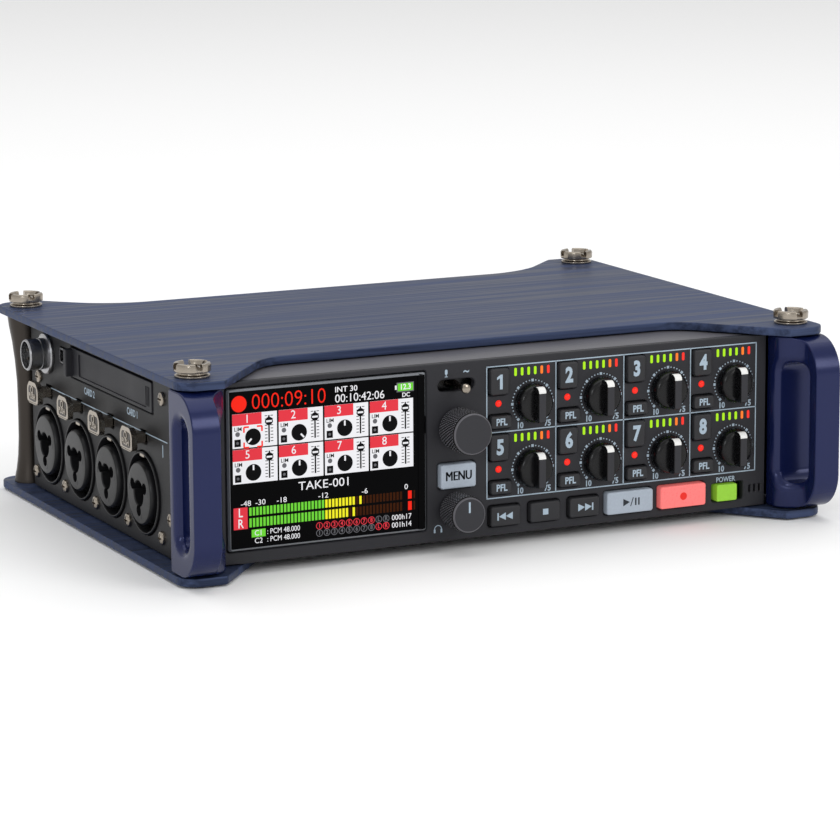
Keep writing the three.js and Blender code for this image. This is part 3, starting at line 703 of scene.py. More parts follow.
class RECORDER_OT_panel(bpy.types.Operator):
    """Front panel with its openings, printed grid, scales and lamps"""

    bl_idname = "recorder.panel"
    bl_label = "Front panel"

    def execute(self, context):
        low, high = box("front_panel")
        width = context.scene.recorder_sizes.line
        keys = [cap(node) for node in KEY_NODES]
        holes = [(x, z, w + 0.5, h + 0.5, 0.8) for x, z, w, h, _ in keys]
        pane_low, pane_high = box("display_window")
        pane = (pane_low + pane_high) / 2
        holes.append((pane.x, pane.z, pane_high.x - pane_low.x + 0.7, pane_high.z - pane_low.z + 0.7, 0.6))
        slate = middle("slate_switch")
        holes.append((slate.x, slate.z, 10.1, 3.0, 1.45))
        power_low, power_high = box("power_switch")
        power_z = (power_low.z + power_high.z) / 2
        holes.append((64.7, power_z, 9.3, 4.8, 0.6))
        holes += [(x, 7.1, 0.55, 1.9, 0.12) for x in (71.4, 72.85, 74.3)]
        for node in ("encoder_knob", "phones_knob", *[f"gain_knob_{n}" for n in CHANNELS]):
            spot = middle(node)
            holes.append((spot.x, spot.z, 2.4))
        face = perforated(outline(low, high), holes, FACE, FACE + 2, radius=0.3, rim=0.25)
        back = high.y
        # the top ledge is the panel's ABS painted paler: a painted highlight of the light from above
        ledge = block((low.x, FACE + 1.5, high.z - 1.2), (high.x, back, high.z), 0.25)
        walls = [
            block((low.x, FACE + 1.5, low.z), (high.x, back, low.z + 0.7), 0.2),
            block((low.x, FACE + 1.5, low.z), (low.x + 1.1, back, high.z), 0.2),
            block((high.x - 1.1, FACE + 1.5, low.z), (high.x, back, high.z), 0.2),
        ]
        parts = coated("moulded_abs", face, *walls) + coated("satin_abs", ledge)
        piece("front_panel_face", CHASSIS, parts, ["front_panel"])
        cells = [middle(f"gain_knob_{n}") for n in CHANNELS]
        left, top = cells[0].x - 12.75, cells[0].z + 9.9
        right, bottom = cells[7].x + 6.55, cells[7].z - 6.73
        ink = []
        for i in range(5):
            x = left + i * (right - left) / 4
            ink.append(line(x - width / 2, bottom, x + width / 2, top))
        for z in (top, cells[4].z + 9.9, bottom):
            ink.append(line(left - width / 2, z - width / 2, right + width / 2, z + width / 2))
        for spot in cells:
            ink += dial_scale(spot.x, spot.z)
        ink += [
            lettering("POWER", 1.9, (64.1, FACE, 10.2), wide=0.85, bold=0.01),
            lettering("~", 3.4, (-10.1, FACE, 44.75), bold=0.01),
        ]
        ink += microphone_sign(-15.6, 44.5) + phones_sign(-18.0, 5.6)
        piece("panel_printing", CHASSIS, coated("printing_ink", *ink))
        lamps = []
        for spot in cells:
            left_x, top_z = spot.x - 12.75, spot.z + 9.9
            for i in range(6):
                lens = "green_lens" if i < 4 else ("amber_lens" if i == 4 else "red_lens")
                x = left_x + 7.98 + 1.83 * i
                window = rect(x, top_z - 1.82, 0.7, 2.05)
                lamps.append((prism(window, FACE - 0.12, FACE + 0.4, radii=0.3, rim=0.06, steps=3), lens))
            dome = turned(
                [(0, 0.5), (0.35, 0.47), (0.65, 0.32), (0.86, 0.0), (0.86, -0.4), (0, -0.4)],
                "front", (left_x + 3.25, FACE, top_z - 9.4), 20,
            )
            lamps.append((dome, "red_lens"))
        piece("panel_lamps", CHASSIS, lamps)
        return {"FINISHED"}


def dial_scale(x, z):
    """The ring of dots about a gain dial, with larger marks at each eighth and its end numbers."""
    marks = []
    for i in range(31):
        turn = math.radians(225 - i * 9)
        u, v = x + 5.65 * math.cos(turn), z + 5.65 * math.sin(turn)
        half = 0.33 if i % 5 == 0 else 0.15
        mark = prism(rect(0, 0, 2 * half, 2 * half), -INK, INK)
        spin = Matrix.Translation((u, FACE, v)) @ Matrix.Rotation(-turn, 4, "Y")
        bmesh.ops.transform(mark, matrix=spin, verts=mark.verts)
        marks.append(mark)
    for text, u in (("10", -3.5), ("75", 4.25)):
        marks.append(lettering(text, 2.1, (x + u, FACE, z - 5.6), wide=0.9, bold=0.03))
    return marks


def microphone_sign(x, z):
    """A small microphone: a round-ended body on a stem."""
    body = prism(rect(x, z + 0.35, 0.7, 1.3), FACE - INK, FACE + INK, radii=0.34, steps=4)
    return [body, line(x - 0.09, z - 0.75, x + 0.09, z - 0.3), line(x - 0.4, z - 0.9, x + 0.4, z - 0.72)]


def phones_sign(x, z):
    """A small pair of headphones: a bow over two ear pads."""
    bow = tube(0.85, 1.05, -INK, INK, "front", (x, FACE, z), 24)
    lower = [v for v in bow.verts if v.co.z < z - 0.25]
    bmesh.ops.delete(bow, geom=lower, context="VERTS")
    bmesh.ops.holes_fill(bow, edges=[e for e in bow.edges if e.is_boundary])
    return [bow, line(x - 1.15, z - 0.9, x - 0.7, z), line(x + 0.7, z - 0.9, x + 1.15, z)]


# ------------------------------------------------------------------ display


class RECORDER_OT_display(bpy.types.Operator):
    """Display pane and the picture it shows"""

    bl_idname = "recorder.display"
    bl_label = "Display"

    def execute(self, context):
        low, high = box("display_window")
        x, z = (low.x + high.x) / 2, (low.z + high.z) / 2
        w, h = high.x - low.x, high.z - low.z
        view = (x - 0.65, z + 0.1, w - 3.1, h - 1.4, 0.15)
        rim = perforated(rect(x, z, w, h), [view], low.y, low.y + 1.8, radius=0.5, rim=0.5)
        dark_side = block(
            (high.x - 2.2, low.y - 0.02, low.z + 0.5), (high.x - 0.35, low.y + 0.5, high.z - 0.5), 0.05
        )
        notch = rod(2.4, 0, 3, "back", (high.x + 0.9, low.y - 1, 32.3))
        glass = block((low.x + 0.8, low.y + 0.12, low.z + 0.6), (high.x - 1.5, low.y + 1.5, high.z - 0.5))
        parts = [
            # the pane's bevelled rim is painted silver-grey: a painted highlight of the light on its bevel
            (carved(rim, notch), "bevel_plastic"),
            (dark_side, "display_glass"),
            (glass, "display_glass"),
            (block((low.x + 1, low.y + 1.4, low.z + 1), (high.x - 2, high.y, high.z - 1), 0.3), "bright_tin"),
        ]  # the last is the display module behind the pane
        piece("display_pane", CHASSIS, parts, ["display_window"])
        piece("display_picture", CHASSIS, display_picture(low.y + 0.12), sharp=20)
        return {"FINISHED"}


def tile(x0, z0, x1, z1, level, layer=1):
    """A flat rectangle of the picture. Higher layers lie in front."""
    y = level - 0.02 * layer
    return block((x0, y, z0), (x1, level + 0.05, z1))


def spot(x, z, r, level, layer=1, steps=28):
    """A flat disc of the picture."""
    y = level - 0.02 * layer
    return rod(r, 0, level + 0.05 - y, "back", (x, y, z), steps)


def words(text, size, x, z, level, layer=2, align="LEFT", wide=0.8, bold=0.01):
    """Words of the picture."""
    y = level - 0.02 * layer
    return lettering(text, size, (x, y, z), align=align, wide=wide, bold=bold, depth=0.015)


def display_picture(level):
    """Timer, eight channel strips, take name and level meters, as the display shows them."""
    art = [
        (spot(-71.05, 41.85, 2.0, level), "screen_red"),
        (words("000:09:10", 5.4, -67.9, 41.85, level, wide=0.93, bold=-0.012), "screen_red"),
        (words("INT 30", 1.9, -45.9, 43.1, level, wide=1.1), "screen_white"),
        (words("00:10:42:06", 2.9, -45.9, 40.85, level, wide=0.99, bold=0), "screen_white"),
        (tile(-29.3, 41.1, -24.65, 43.45, level), "screen_grey"),
        (tile(-29.0, 41.35, -24.9, 43.2, level, 2), "screen_green"),
        (tile(-29.75, 41.75, -29.3, 42.8, level), "screen_white"),
        (words("12.3", 1.9, -26.95, 42.28, level, 3, "CENTER", 0.95, 0.02), "screen_white"),
        (words("DC", 1.5, -26.8, 40.3, level, 2, "CENTER", 1.0, 0.02), "screen_white"),
        (words("TAKE-001", 3.0, -48.8, 20.15, level, 2, "CENTER", 1.1, 0), "screen_white"),
    ]
    for n in CHANNELS:
        column, row = (n - 1) % 4, (n - 1) // 4
        art += channel_strip(n, -72.85 + column * 12.1, 39.42 - row * 8.72, level)
    scale = (("-48", -69.6), ("-30", -65.8), ("-18", -60.2), ("-12", -49.2), ("-6", -38.1), ("0", -26.9))
    for text, x in scale:
        art.append((words(text, 1.9, x, 17.3, level, 2, "CENTER", 1.1, 0), "screen_white"))
    art.append((tile(-72.85, 11.1, -69.2, 16.45, level), "screen_rose"))
    for text, z in (("L", 15.1), ("R", 12.4)):
        art.append((words(text, 3.1, -71.05, z, level, 2, "CENTER"), "screen_white"))
    rows = ((14.25, 16.25, range(22, 31), 32), (11.4, 13.6, range(22, 29), 30))
    for low, high, yellow, peak in rows:
        for i in range(45):
            x = -68.75 + 0.912 * i
            if i < 22:
                colour = "screen_green"
            elif i in yellow or i == peak:
                colour = "screen_yellow"
            else:
                colour = "screen_brown"
            art.append((tile(x, low, x + 0.6, high, level), colour))
        art.append((tile(-26.4, low, -25.4, high, level), "screen_red"))
        art.append((tile(-24.9, low, -24.5, high, level), "screen_brown"))
    art.append((tile(-68.2, 8.85, -64.55, 10.75, level), "screen_green"))
    for card, left_time, z in (("C1", "000h17", 9.8), ("C2", "001h14", 7.9)):
        art += coated(
            "screen_white",
            words(card, 1.9, -66.4, z, level, 2, "CENTER", 0.95, 0),
            words(": PCM 48.000", 1.85, -64.2, z + 0.1, level, wide=0.86, bold=0),
            words(left_time, 1.9, -30.9, z + 0.05, level, wide=0.95, bold=0),
        )
    for row, z in ((0, 9.9), (1, 8.1)):
        for i in range(10):
            lit = (i < 8) == (row == 0)
            x = -50.3 + 1.99 * i
            ring = "screen_rose" if lit else "screen_grey"
            track = words("12345678LR"[i], 1.45, x, z, level, 3, "CENTER", 0.9, 0.02)
            art += [
                (spot(x, z, 0.9, level, 1, 16), ring),
                (spot(x, z, 0.74, level, 2, 16), "screen_dark"),
                (track, ring),
            ]
    return art


def channel_strip(number, left, top, level):
    """One channel's panel: number, limiter lamp, dial and fader."""
    knob_x, knob_z = left + 5.35, top - 5.85
    fader_x = left + 9.55
    art = [
        (tile(left, top - 8.4, left + 11.65, top, level), "screen_white"),
        (tile(left, top - 2.85, left + 7.65, top - 0.02, level, 2), "screen_rose"),
        (words(str(number), 2.9, left + 3.85, top - 1.42, level, 3, "CENTER", 0.95, 0), "screen_white"),
        (words("LIM", 1.35, left + 1.45, top - 3.75, level, 2, "CENTER", 1.0, 0.01), "screen_dark"),
        (spot(left + 1.35, top - 4.95, 0.6, level, 2, 14), "screen_grey"),
        (tile(left + 0.5, top - 8.0, left + 2.15, top - 6.2, level, 2), "screen_dark"),
        (spot(left + 1.3, top - 7.1, 0.4, level, 3, 5), "screen_grey"),
        (spot(knob_x, knob_z, 2.05, level, 2), "screen_dark"),
        (tile(fader_x - 0.2, top - 7.6, fader_x + 0.2, top - 0.9, level, 2), "screen_dark"),
        (spot(fader_x, top - 2.35, 1.02, level, 3), "screen_dark"),
        (tile(fader_x - 0.75, top - 2.6, fader_x + 0.75, top - 2.15, level, 4), "screen_white"),
    ]
    for i in range(9):
        z = top - 1.0 - 0.78 * i
        for side in (-1, 1):
            x = fader_x + side * 0.75
            art.append((tile(x - 0.33, z - 0.09, x + 0.33, z + 0.09, level, 2), "screen_dark"))
    angle = {1: 225, 2: -45}.get(number, 90)
    pointer = prism(rect(1.2, 0, 1.25, 0.42), -0.01, 0.01)
    place = Matrix.Translation((knob_x, level - 0.06, knob_z)) @ Matrix.Rotation(-math.radians(angle), 4, "Y")
    bmesh.ops.transform(pointer, matrix=place, verts=pointer.verts)
    art.append((pointer, "screen_white"))
    if number == 1:
        for u in (-1, 1):
            for v in (-1, 1):
                x, z = knob_x + 2.35 * u, knob_z + 2.5 * v
                across, down = sorted((x, x - 1.3 * u)), sorted((z, z - 1.3 * v))
                art.append((tile(across[0], z - 0.2, across[1], z + 0.2, level, 3), "screen_red"))
                art.append((tile(x - 0.2, down[0], x + 0.2, down[1], level, 3), "screen_red"))
    return art


# ------------------------------------------------------------------ keys and dials


def key_cap(node, rim):
    """A key cap with rounded corners and hidden ears."""
    x, z, w, h, front = cap(node)
    back = box(node)[1].y
    return [
        prism(rect(x, z, w, h), front, back, radii=0.7, rim=rim, rim_steps=3),
        block((x - w / 2 - EAR, back - 0.9, z - h / 4), (x + w / 2 + EAR, back - 0.1, z + h / 4), 0.1),
    ]


def triangle(x, z, size, front):
    """A symbol pointing right, or left for a negative size."""
    corners = [(x - size / 2, z - abs(size) * 0.5), (x + size / 2, z), (x - size / 2, z + abs(size) * 0.5)]
    return prism(corners, front - INK, front + INK)


def key_signs(node):
    """The symbol or word printed on a key."""
    x, z, _, _, front = cap(node)

    def bar(u, width):
        """An upright stroke."""
        return line(u - width / 2, z - 0.95, u + width / 2, z + 0.95, front)

    if node == "track_key_1":
        stroke = [(0, -1.85), (0.75, -1.85), (0.75, 1.85), (0.2, 1.85), (-0.8, 1.2), (-0.8, 0.55), (0, 1.0)]
        return [prism([(x - 0.1 + u, z + v) for u, v in stroke], front - INK, front + INK)]
    if node.startswith("track"):
        return [lettering(node[-1], 5.2, (x, front, z), wide=0.8, bold=0.045)]
    if node.startswith("pfl"):
        return [lettering("PFL", 2.45, (x, front, z), wide=0.86, bold=0.025)]
    if node == "menu_key":
        steps = (-0.09, -0.03, 0.03, 0.09)  # thickens the strokes
        return [lettering("MENU", 3.3, (x + step, front, z), wide=0.8, bold=0) for step in steps]
    if node == "stop_key":
        return [line(x - 0.75, z - 0.75, x + 0.75, z + 0.75, front)]
    if node == "rewind_key":
        return [bar(x - 2.2, 0.4), triangle(x - 1.0, z, -1.9, front), triangle(x + 0.95, z, -1.9, front)]
    if node == "forward_key":
        return [bar(x + 2.2, 0.4), triangle(x + 1.0, z, 1.9, front), triangle(x - 0.95, z, 1.9, front)]
    if node == "play_key":
        stroke = [(x + u, z + v) for u, v in ((-0.05, -1.1), (0.2, -1.1), (0.95, 1.1), (0.7, 1.1))]
        slash = prism(stroke, front - INK, front + INK)
        return [triangle(x - 1.1, z, 1.9, front), bar(x + 1.55, 0.42), bar(x + 2.45, 0.42), slash]
    return [rod(1.0, -INK, INK, "front", (x, front, z), 28)]


class RECORDER_OT_keys(bpy.types.Operator):
    """Channel, transport and menu keys with their printed signs"""

    bl_idname = "recorder.keys"
    bl_label = "Keys"

    def execute(self, context):
        rim = context.scene.recorder_sizes.key_edge
        looks = {
            "menu_key": ("milky_polycarbonate", "dark_ink", "clear_key"),
            "play_key": ("milky_polycarbonate", "dark_ink", "clear_key"),
            "record_key": ("lit_red_polycarbonate", "red_ink", "red_key"),
        }
        for node in KEY_NODES:
            body, sign, slot = looks.get(node, ("silicone_rubber", "printing_ink", "key_rubber"))
            parts = coated(body, *key_cap(node, rim)) + coated(sign, *key_signs(node))
            piece(f"{node}_cap", node, parts, [node])
        return {"FINISHED"}


def gain_dial(node):
    """A gain dial: a round body with a raised straight bar, its tip painted white."""
    low, high = box(node)
    x, z = (low.x + high.x) / 2, (low.z + high.z) / 2
    base, front = FACE - 0.3, low.y
    body = turned(
        [
            (0, 0), (4.95, 0), (4.98, 0.5), (4.92, 1.0), (4.8, 1.5), (4.62, 1.95), (4.38, 2.3), (4.05, 2.55),
            (3.5, 2.72), (2.0, 2.8), (0, 2.8),
        ],
        "front", (x, base, z), 64,
    )
    foot = base - 1.0
    bar = prism(
        [(front, z - 4.35), (front, z + 3.7), (front + 0.9, z + 4.5), (foot, z + 4.5), (foot, z - 4.35)],
        x - 1.1, x + 1.1, "X", radii=[0.4, 0.35, 0.4, 0, 0], rim=0.22, back_rim=0.22,
    )
    # a paler strip on the bar's front: a painted sheen of the light on the glossy black bar
    painted_sheen_strip = prism(rect(x, z - 0.5, 1.75, 7.2), front - 0.02, front + 0.05, radii=0.2)
    tip = prism(
        [(front - 0.05, z + 3.1), (front - 0.05, z + 3.72), (front + 0.88, z + 4.56), (front + 1.7, z + 4.56),
         (front + 1.7, z + 3.1)],
        x - 1.0, x + 1.0, "X", radii=[0, 0.35, 0.4, 0, 0], rim=0.12, back_rim=0.12,
    )
    shaft = rod(1.5, 0, 2.6, "back", (x, base - 0.2, z), 20)
    return [(body, "polished_abs"), (bar, "polished_abs"), (painted_sheen_strip, "turned_abs"), (tip, "white_paint"),
            (shaft, "polished_abs")]


def knurled(node, columns, rows, depth):
    """A round knob whose side is pressed into diamonds, with a smooth cap let into its front."""
    low, high = box(node)
    x, z = (low.x + high.x) / 2, (low.z + high.z) / 2
    r = (high.x - low.x) / 2
    base = FACE - 0.3
    reach = base - low.y
    run = reach - 1.1
    side = [(r - depth, 0.5 + run * i / rows) for i in range(rows + 1)]
    profile = [(0, 0), (r - 0.5, 0), *side, (r - 0.4, reach - 0.5), (0, reach - 0.5)]
    grip = turned(profile, "front", (x, base, z), columns)
    around = [v for v in grip.verts if abs(math.hypot(v.co.x - x, v.co.z - z) - (r - depth)) < 1e-3]
    for v in around:  # each ring is half a diamond round from the one before
        row = round((base - v.co.y - 0.5) / run * rows)
        turn = Matrix.Rotation(math.pi / columns * row, 4, "Y")
        bmesh.ops.rotate(grip, cent=(x, 0, z), matrix=turn, verts=[v])
    ring = set(around)
    points = [f for f in grip.faces if all(v in ring for v in f.verts)]
    bmesh.ops.inset_individual(grip, faces=points, thickness=0.2, depth=depth)
    for face in grip.faces:
        face.material_index = 0
    # the points take the paler finish: a painted highlight of the glints on the diamonds
    for face in points:
        face.material_index = 1
    cap_face = turned([(0, reach - 0.3), (r - 0.55, reach - 0.3), (r - 0.6, reach), (0, reach)], "front",
                      (x, base, z), 60)
    # a paler ring about the cap: a painted highlight along its chamfer
    rim = turned(
        [(r - 0.75, reach - 0.5), (r - 0.25, reach - 0.5), (r - 0.25, reach - 0.3), (r - 0.5, reach - 0.03),
         (r - 0.75, reach - 0.03)],
        "front", (x, base, z), 60, closed=True,
    )
    return [(grip, ("knurled_abs", "knurl_points_painted_highlight")), (cap_face, "turned_abs"), (rim, "satin_abs")]


class RECORDER_OT_dials(bpy.types.Operator):
    """Gain dials, encoder, headphone knob, slate lever and power slide"""

    bl_idname = "recorder.dials"
    bl_label = "Dials and switches"

    def execute(self, context):
        for n in CHANNELS:
            node = f"gain_knob_{n}"
            piece(f"{node}_dial", node, gain_dial(node), [node])
        piece("encoder_knob_cap", "encoder_knob", knurled("encoder_knob", 46, 11, 0.3),
              ["encoder_knob"], 18)
        phones = knurled("phones_knob", 40, 10, 0.28)
        front = box("phones_knob")[0].y
        x, _, z = middle("phones_knob")
        mark = block((x - 0.25, front - 0.02, z + 0.6), (x + 0.25, front + 0.3, z + 3.3))
        piece("phones_knob_cap", "phones_knob", [*phones, (mark, "printing_ink")],
              ["phones_knob"], 18)
        x, _, z = middle("slate_switch")
        lever = turned(
            [
                (0, 0), (1.25, 0.1), (1.15, 3), (0.75, 4.1), (0.72, 5.5), (0.85, 7.2), (1.15, 8.3),
                (1.25, 8.9), (1.1, 9.4), (0.7, 9.65), (0, 9.7),
            ],
            "front", (x, box("slate_switch")[1].y, z), 32,
        )
        piece("slate_lever", "slate_switch", coated("nickel_plate", lever), ["slate_switch"])
        low, high = box("power_switch")
        x, z = (low.x + high.x) / 2, (low.z + high.z) / 2
        slider = prism(rect(x, z, high.x - low.x, high.z - low.z), low.y, high.y - 0.8, radii=0.5, rim=0.35)
        foot = block((low.x + 0.6, -56, z - 1.6), (high.x - 0.6, high.y, z + 1.6), 0.1)
        parts = coated("lit_green_polycarbonate", slider) + coated("silicone_rubber", foot)
        piece("power_slider", "power_switch", parts, ["power_switch"])
        well = block((59.8, -54.6, z - 2.6), (69.8, -54.2, z + 2.6), 0.1)
        slate_well = block((-18.7, -54.0, 39.2), (-6.9, -53.7, 43.6), 0.1)
        piece("switch_wells", CHASSIS, coated("polished_abs", well, slate_well))
        return {"FINISHED"}


# ------------------------------------------------------------------ side sheets and jacks

JACK_YS = [LATCHES[n].y for n in (1, 2, 3, 4)]


def small_screw(towards, at, radius=1.75):
    """A pan-head screw with a cross recess."""
    head = turned(
        [(0, -0.3), (radius, -0.3), (radius, 0.25), (radius * 0.92, 0.6), (radius * 0.6, 0.85), (0, 0.95)],
        towards, at, 28,
    )
    place = Vector(at)
    arm, thin = radius * 0.62, 0.22
    along = SIDES[towards]
    across = [i for i in range(3) if abs(along[i]) < 0.5]
    spans = [Vector((0.55, 0.55, 0.55)) for _ in range(2)]
    for span, reaches in zip(spans, ((arm, thin), (thin, arm))):
        for i, reach in zip(across, reaches):
            span[i] = reach
    centre = place + along * 0.85
    return carved(head, *[block(centre - s, centre + s) for s in spans])


def spread(sign, *distances):
    """Distances from the middle plane as places on one side of it, the lowest first."""
    return sorted(sign * d for d in distances)


def jack(y, sign):
    """A combination jack: lipped ring, deep groove, and a core with one large and three small bores."""
    towards = "left" if sign < 0 else "right"
    core_face = abs(box("left_input_board")[0].x)
    back = 62.0  # the jack's board stands this far from the middle
    at = (sign * back, y, JACK_Z)
    face = SIDE + 0.3 - back
    ring = turned(
        [
            (9.35, face - 12), (10.35, face - 12), (10.35, face + 0.15), (10.1, face + 0.35),
            (9.9, face + 0.35), (9.75, face + 0.1), (9.6, face - 0.9), (9.35, face - 2.2),
        ],
        towards, at, 64, closed=True,
    )
    floor = rod(9.8, face - 11.8, face - 11.2, towards, at, 40)
    reach = core_face - back
    core = turned(
        [(0, reach - 14), (8.0, reach - 14), (8.0, reach - 1.3), (7.85, reach - 0.5), (7.45, reach - 0.1),
         (6.6, reach), (0, reach)],
        towards, at, 64,
    )
    large = [
        (0, reach - 13), (3.2, reach - 13), (3.2, reach - 0.25), (3.45, reach + 0.05), (3.45, reach + 1),
        (0, reach + 1),
    ]
    cutters = [turned(large, towards, at, 32)]
    for turn in (25, 155, 270):  # the three contacts' bores run into the large one
        a = math.radians(turn)
        place = (sign * back, y + 4.3 * math.cos(a) * sign, JACK_Z + 4.3 * math.sin(a))
        cutters.append(rod(1.45, reach - 10, reach + 1, towards, place, 20))
    parts = coated("moulded_nylon", ring, floor, carved(core, *cutters))
    for text, u, v in (("1", -6.0, 0.6), ("2", 5.9, 0.6), ("3", -1.7, -5.6)):
        place = (sign * (core_face - 0.01), y - sign * u, JACK_Z + v)
        parts.append((lettering(text, 1.9, place, towards, bold=0.0), "moulded_abs"))
    for turn in (60, 180, 300):
        a = math.radians(turn)
        place = (sign * (core_face - 9), y + 2.1 * math.cos(a), JACK_Z + 2.1 * math.sin(a))
        parts.append((rod(0.5, 0, 3, towards, place, 12), "gold_plate"))
    x0, x1 = spread(sign, SIDE - 2.2, SIDE + 0.65)
    hook = block((x0, y - 1.4, JACK_Z + 9.1), (x1, y + 1.4, JACK_Z + 9.9), 0.2)
    parts.append((hook, "nickel_plate"))
    return parts


class RECORDER_OT_jacks(bpy.types.Operator):
    """Combination jacks on both sides and their push latches"""

    bl_idname = "recorder.jacks"
    bl_label = "Jacks and latches"

    def execute(self, context):
        for side, sign in (("left", -1), ("right", 1)):
            parts = []
            for y in JACK_YS:
                parts += jack(y, sign)
            board = box(f"{side}_input_board")
            x0, x1 = spread(sign, 60.4, 62)
            parts.append((block((x0, board[0].y, 3.4), (x1, 48, 28), 0.1), "solder_mask"))
            piece(f"{side}_jacks", CHASSIS, parts, [f"{side}_input_board"])
        for n in CHANNELS:
            node = f"jack_latch_{n}"
            sign = -1 if n <= 4 else 1
            piece(f"{node}_tab", node, latch(node, sign), [node])
        return {"FINISHED"}


def latch(node, sign):
    """A push tab with rounded corners and a raised word, on a stalk that runs into the case."""
    low, high = box(node)
    y, z = (low.y + high.y) / 2, (low.z + high.z) / 2
    face = max(abs(low.x), abs(high.x))
    inner = min(abs(low.x), abs(high.x))
    outer, near = sign * face, sign * (face - 1.5)
    tab = prism(
        [(y - 4, z - 2.3), (y - 2.9, z - 2.9), (y + 2.9, z - 2.9), (y + 4, z - 2.3), (y + 4, z + 1.2),
         (y + 2.4, z + 2.9), (y - 2.4, z + 2.9), (y - 4, z + 1.2)],
        outer, near, "X", radii=0.7, rim=0.5, back_rim=0.2, rim_steps=3,
    )
    x0, x1 = spread(sign, 80, face - 1.5)
    neck = block((x0, y - 1.8, z - 1.3), (x1, y + 1.8, z + 1.3), 0.4)
    x0, x1 = spread(sign, inner, 82)
    foot = block((x0, y - 2.6, z - 1.3), (x1, y + 2.6, z + 1.3), 0.2)
    towards = "left" if sign < 0 else "right"
    field = prism(
        rect(y, z - 0.2, 6.0, 3.9), outer - sign * 0.15, outer + sign * 0.02, "X", radii=1.1, rim=0.05
    )
    word = lettering("PUSH", 2.0, (outer, y, z - 0.9), towards, wide=1.0, bold=0.03, depth=0.16)
    badge = tube(0.65, 1.0, 0, 0.16, towards, (outer, y, z + 0.85), 24)
    return coated("nickel_plate", tab, neck, foot, word, badge) + coated("black_nickel", field)


def side_sheet(sign, extra, screws):
    """A side sheet's shapes with jack and latch openings and its small screws."""
    holes = [(y, JACK_Z, 10.6) for y in JACK_YS] + [(y, LATCHES[1].z, 4.4, 3.4, 0.5) for y in JACK_YS]
    sheet = perforated(
        outline(*box("left_side_panel"), "yz"), holes + extra, sign * SIDE, sign * (SIDE - 1.5), "X",
        radius=0.4, rim=0.2,
    )
    towards = "left" if sign < 0 else "right"
    heads = [small_screw(towards, (sign * SIDE, y, z)) for y, z in screws]
    return coated("powder_coated_steel", sheet) + coated("nickel_plate", *heads)


JACK_SCREWS = [(y, 6.6) for y in (-40.2, -17.6, 4.9, 27.3, 48.9)]


class RECORDER_OT_left_side(bpy.types.Operator):
    """Left sheet, card door, data port and power connector"""

    bl_idname = "recorder.left_side"
    bl_label = "Left side"

    def execute(self, context):
        door_low, door_high = box("sd_door")
        door_y, door_z = (door_low.y + door_high.y) / 2, (door_low.z + door_high.z) / 2
        port_y, port_z = 26.2, 41.0
        extra = [
            (door_y, door_z, door_high.y - door_low.y + 0.7, door_high.z - door_low.z + 0.7, 0.4),
            (port_y, port_z, 7.1, 4.5, 0.4),
            (39.4, 39.8, 4.6),
        ]
        screws = JACK_SCREWS + [(-41.8, 41.4), (45.6, 32.7), (-46.5, 12.3)]
        piece("left_sheet", CHASSIS, side_sheet(-1, extra, screws), ["left_side_panel"])
        x = -SIDE
        ink = [
            block((x - INK, -44.5, 30.85), (x + INK, 37.6, 31.1)),
            block((x - INK, 37.4, 29.6), (x + INK, 37.65, 31.1)),
            lettering("DC IN", 1.5, (x, 35.0, 45.6), "left", bold=0.01),
        ]
        for text, y in (("CARD 2", 8.5), ("CARD 1", -21.5)):
            ink.append(lettering(text, 2.5, (x, y, 34.4), "left", wide=0.85, bold=0.02))
        for n, y in zip((1, 2, 3, 4), JACK_YS):
            ink.append(lettering(str(n), 4.2, (x, y - 12.6, 28.2), "left", wide=0.7, bold=0.02))
        piece("left_printing", CHASSIS, coated("printing_ink", *ink))
        piece("card_door", "sd_door", card_door(door_low, door_high), ["sd_door"])
        piece("main_board_parts", CHASSIS, main_board(port_y, port_z), ["main_board"])
        return {"FINISHED"}


def card_door(low, high):
    """The card door: a slab with a sunk middle, a thumb lip at the rear and three ribs at the front."""
    face = -SIDE - 0.3
    slab = prism(outline(low, high, "yz"), face, high.x, "X", radii=0.5, rim=0.25)
    centre, size = (low + high) / 2, high - low
    sunk = rect(centre.y - 1.5, centre.z, size.y - 9.5, size.z - 1.8)
    dip = prism(sunk, face - 1, face + 0.3, "X", radii=0.5)
    grip_low, grip_high = Vector((0, high.y - 2.1, low.z + 0.2)), Vector((0, high.y, high.z - 0.2))
    lip = prism(outline(grip_low, grip_high, "yz"), low.x, face + 0.5, "X", radii=0.5, rim=0.5)
    ribs = [
        block((face - 0.18, y, low.z + 1.4), (face + 0.2, y + 0.4, high.z - 1.4), 0.08)
        for y in (low.y + 1.6, low.y + 2.5, low.y + 3.4)
    ]
    return coated("moulded_abs", carved(slab, dip), lip, *ribs)


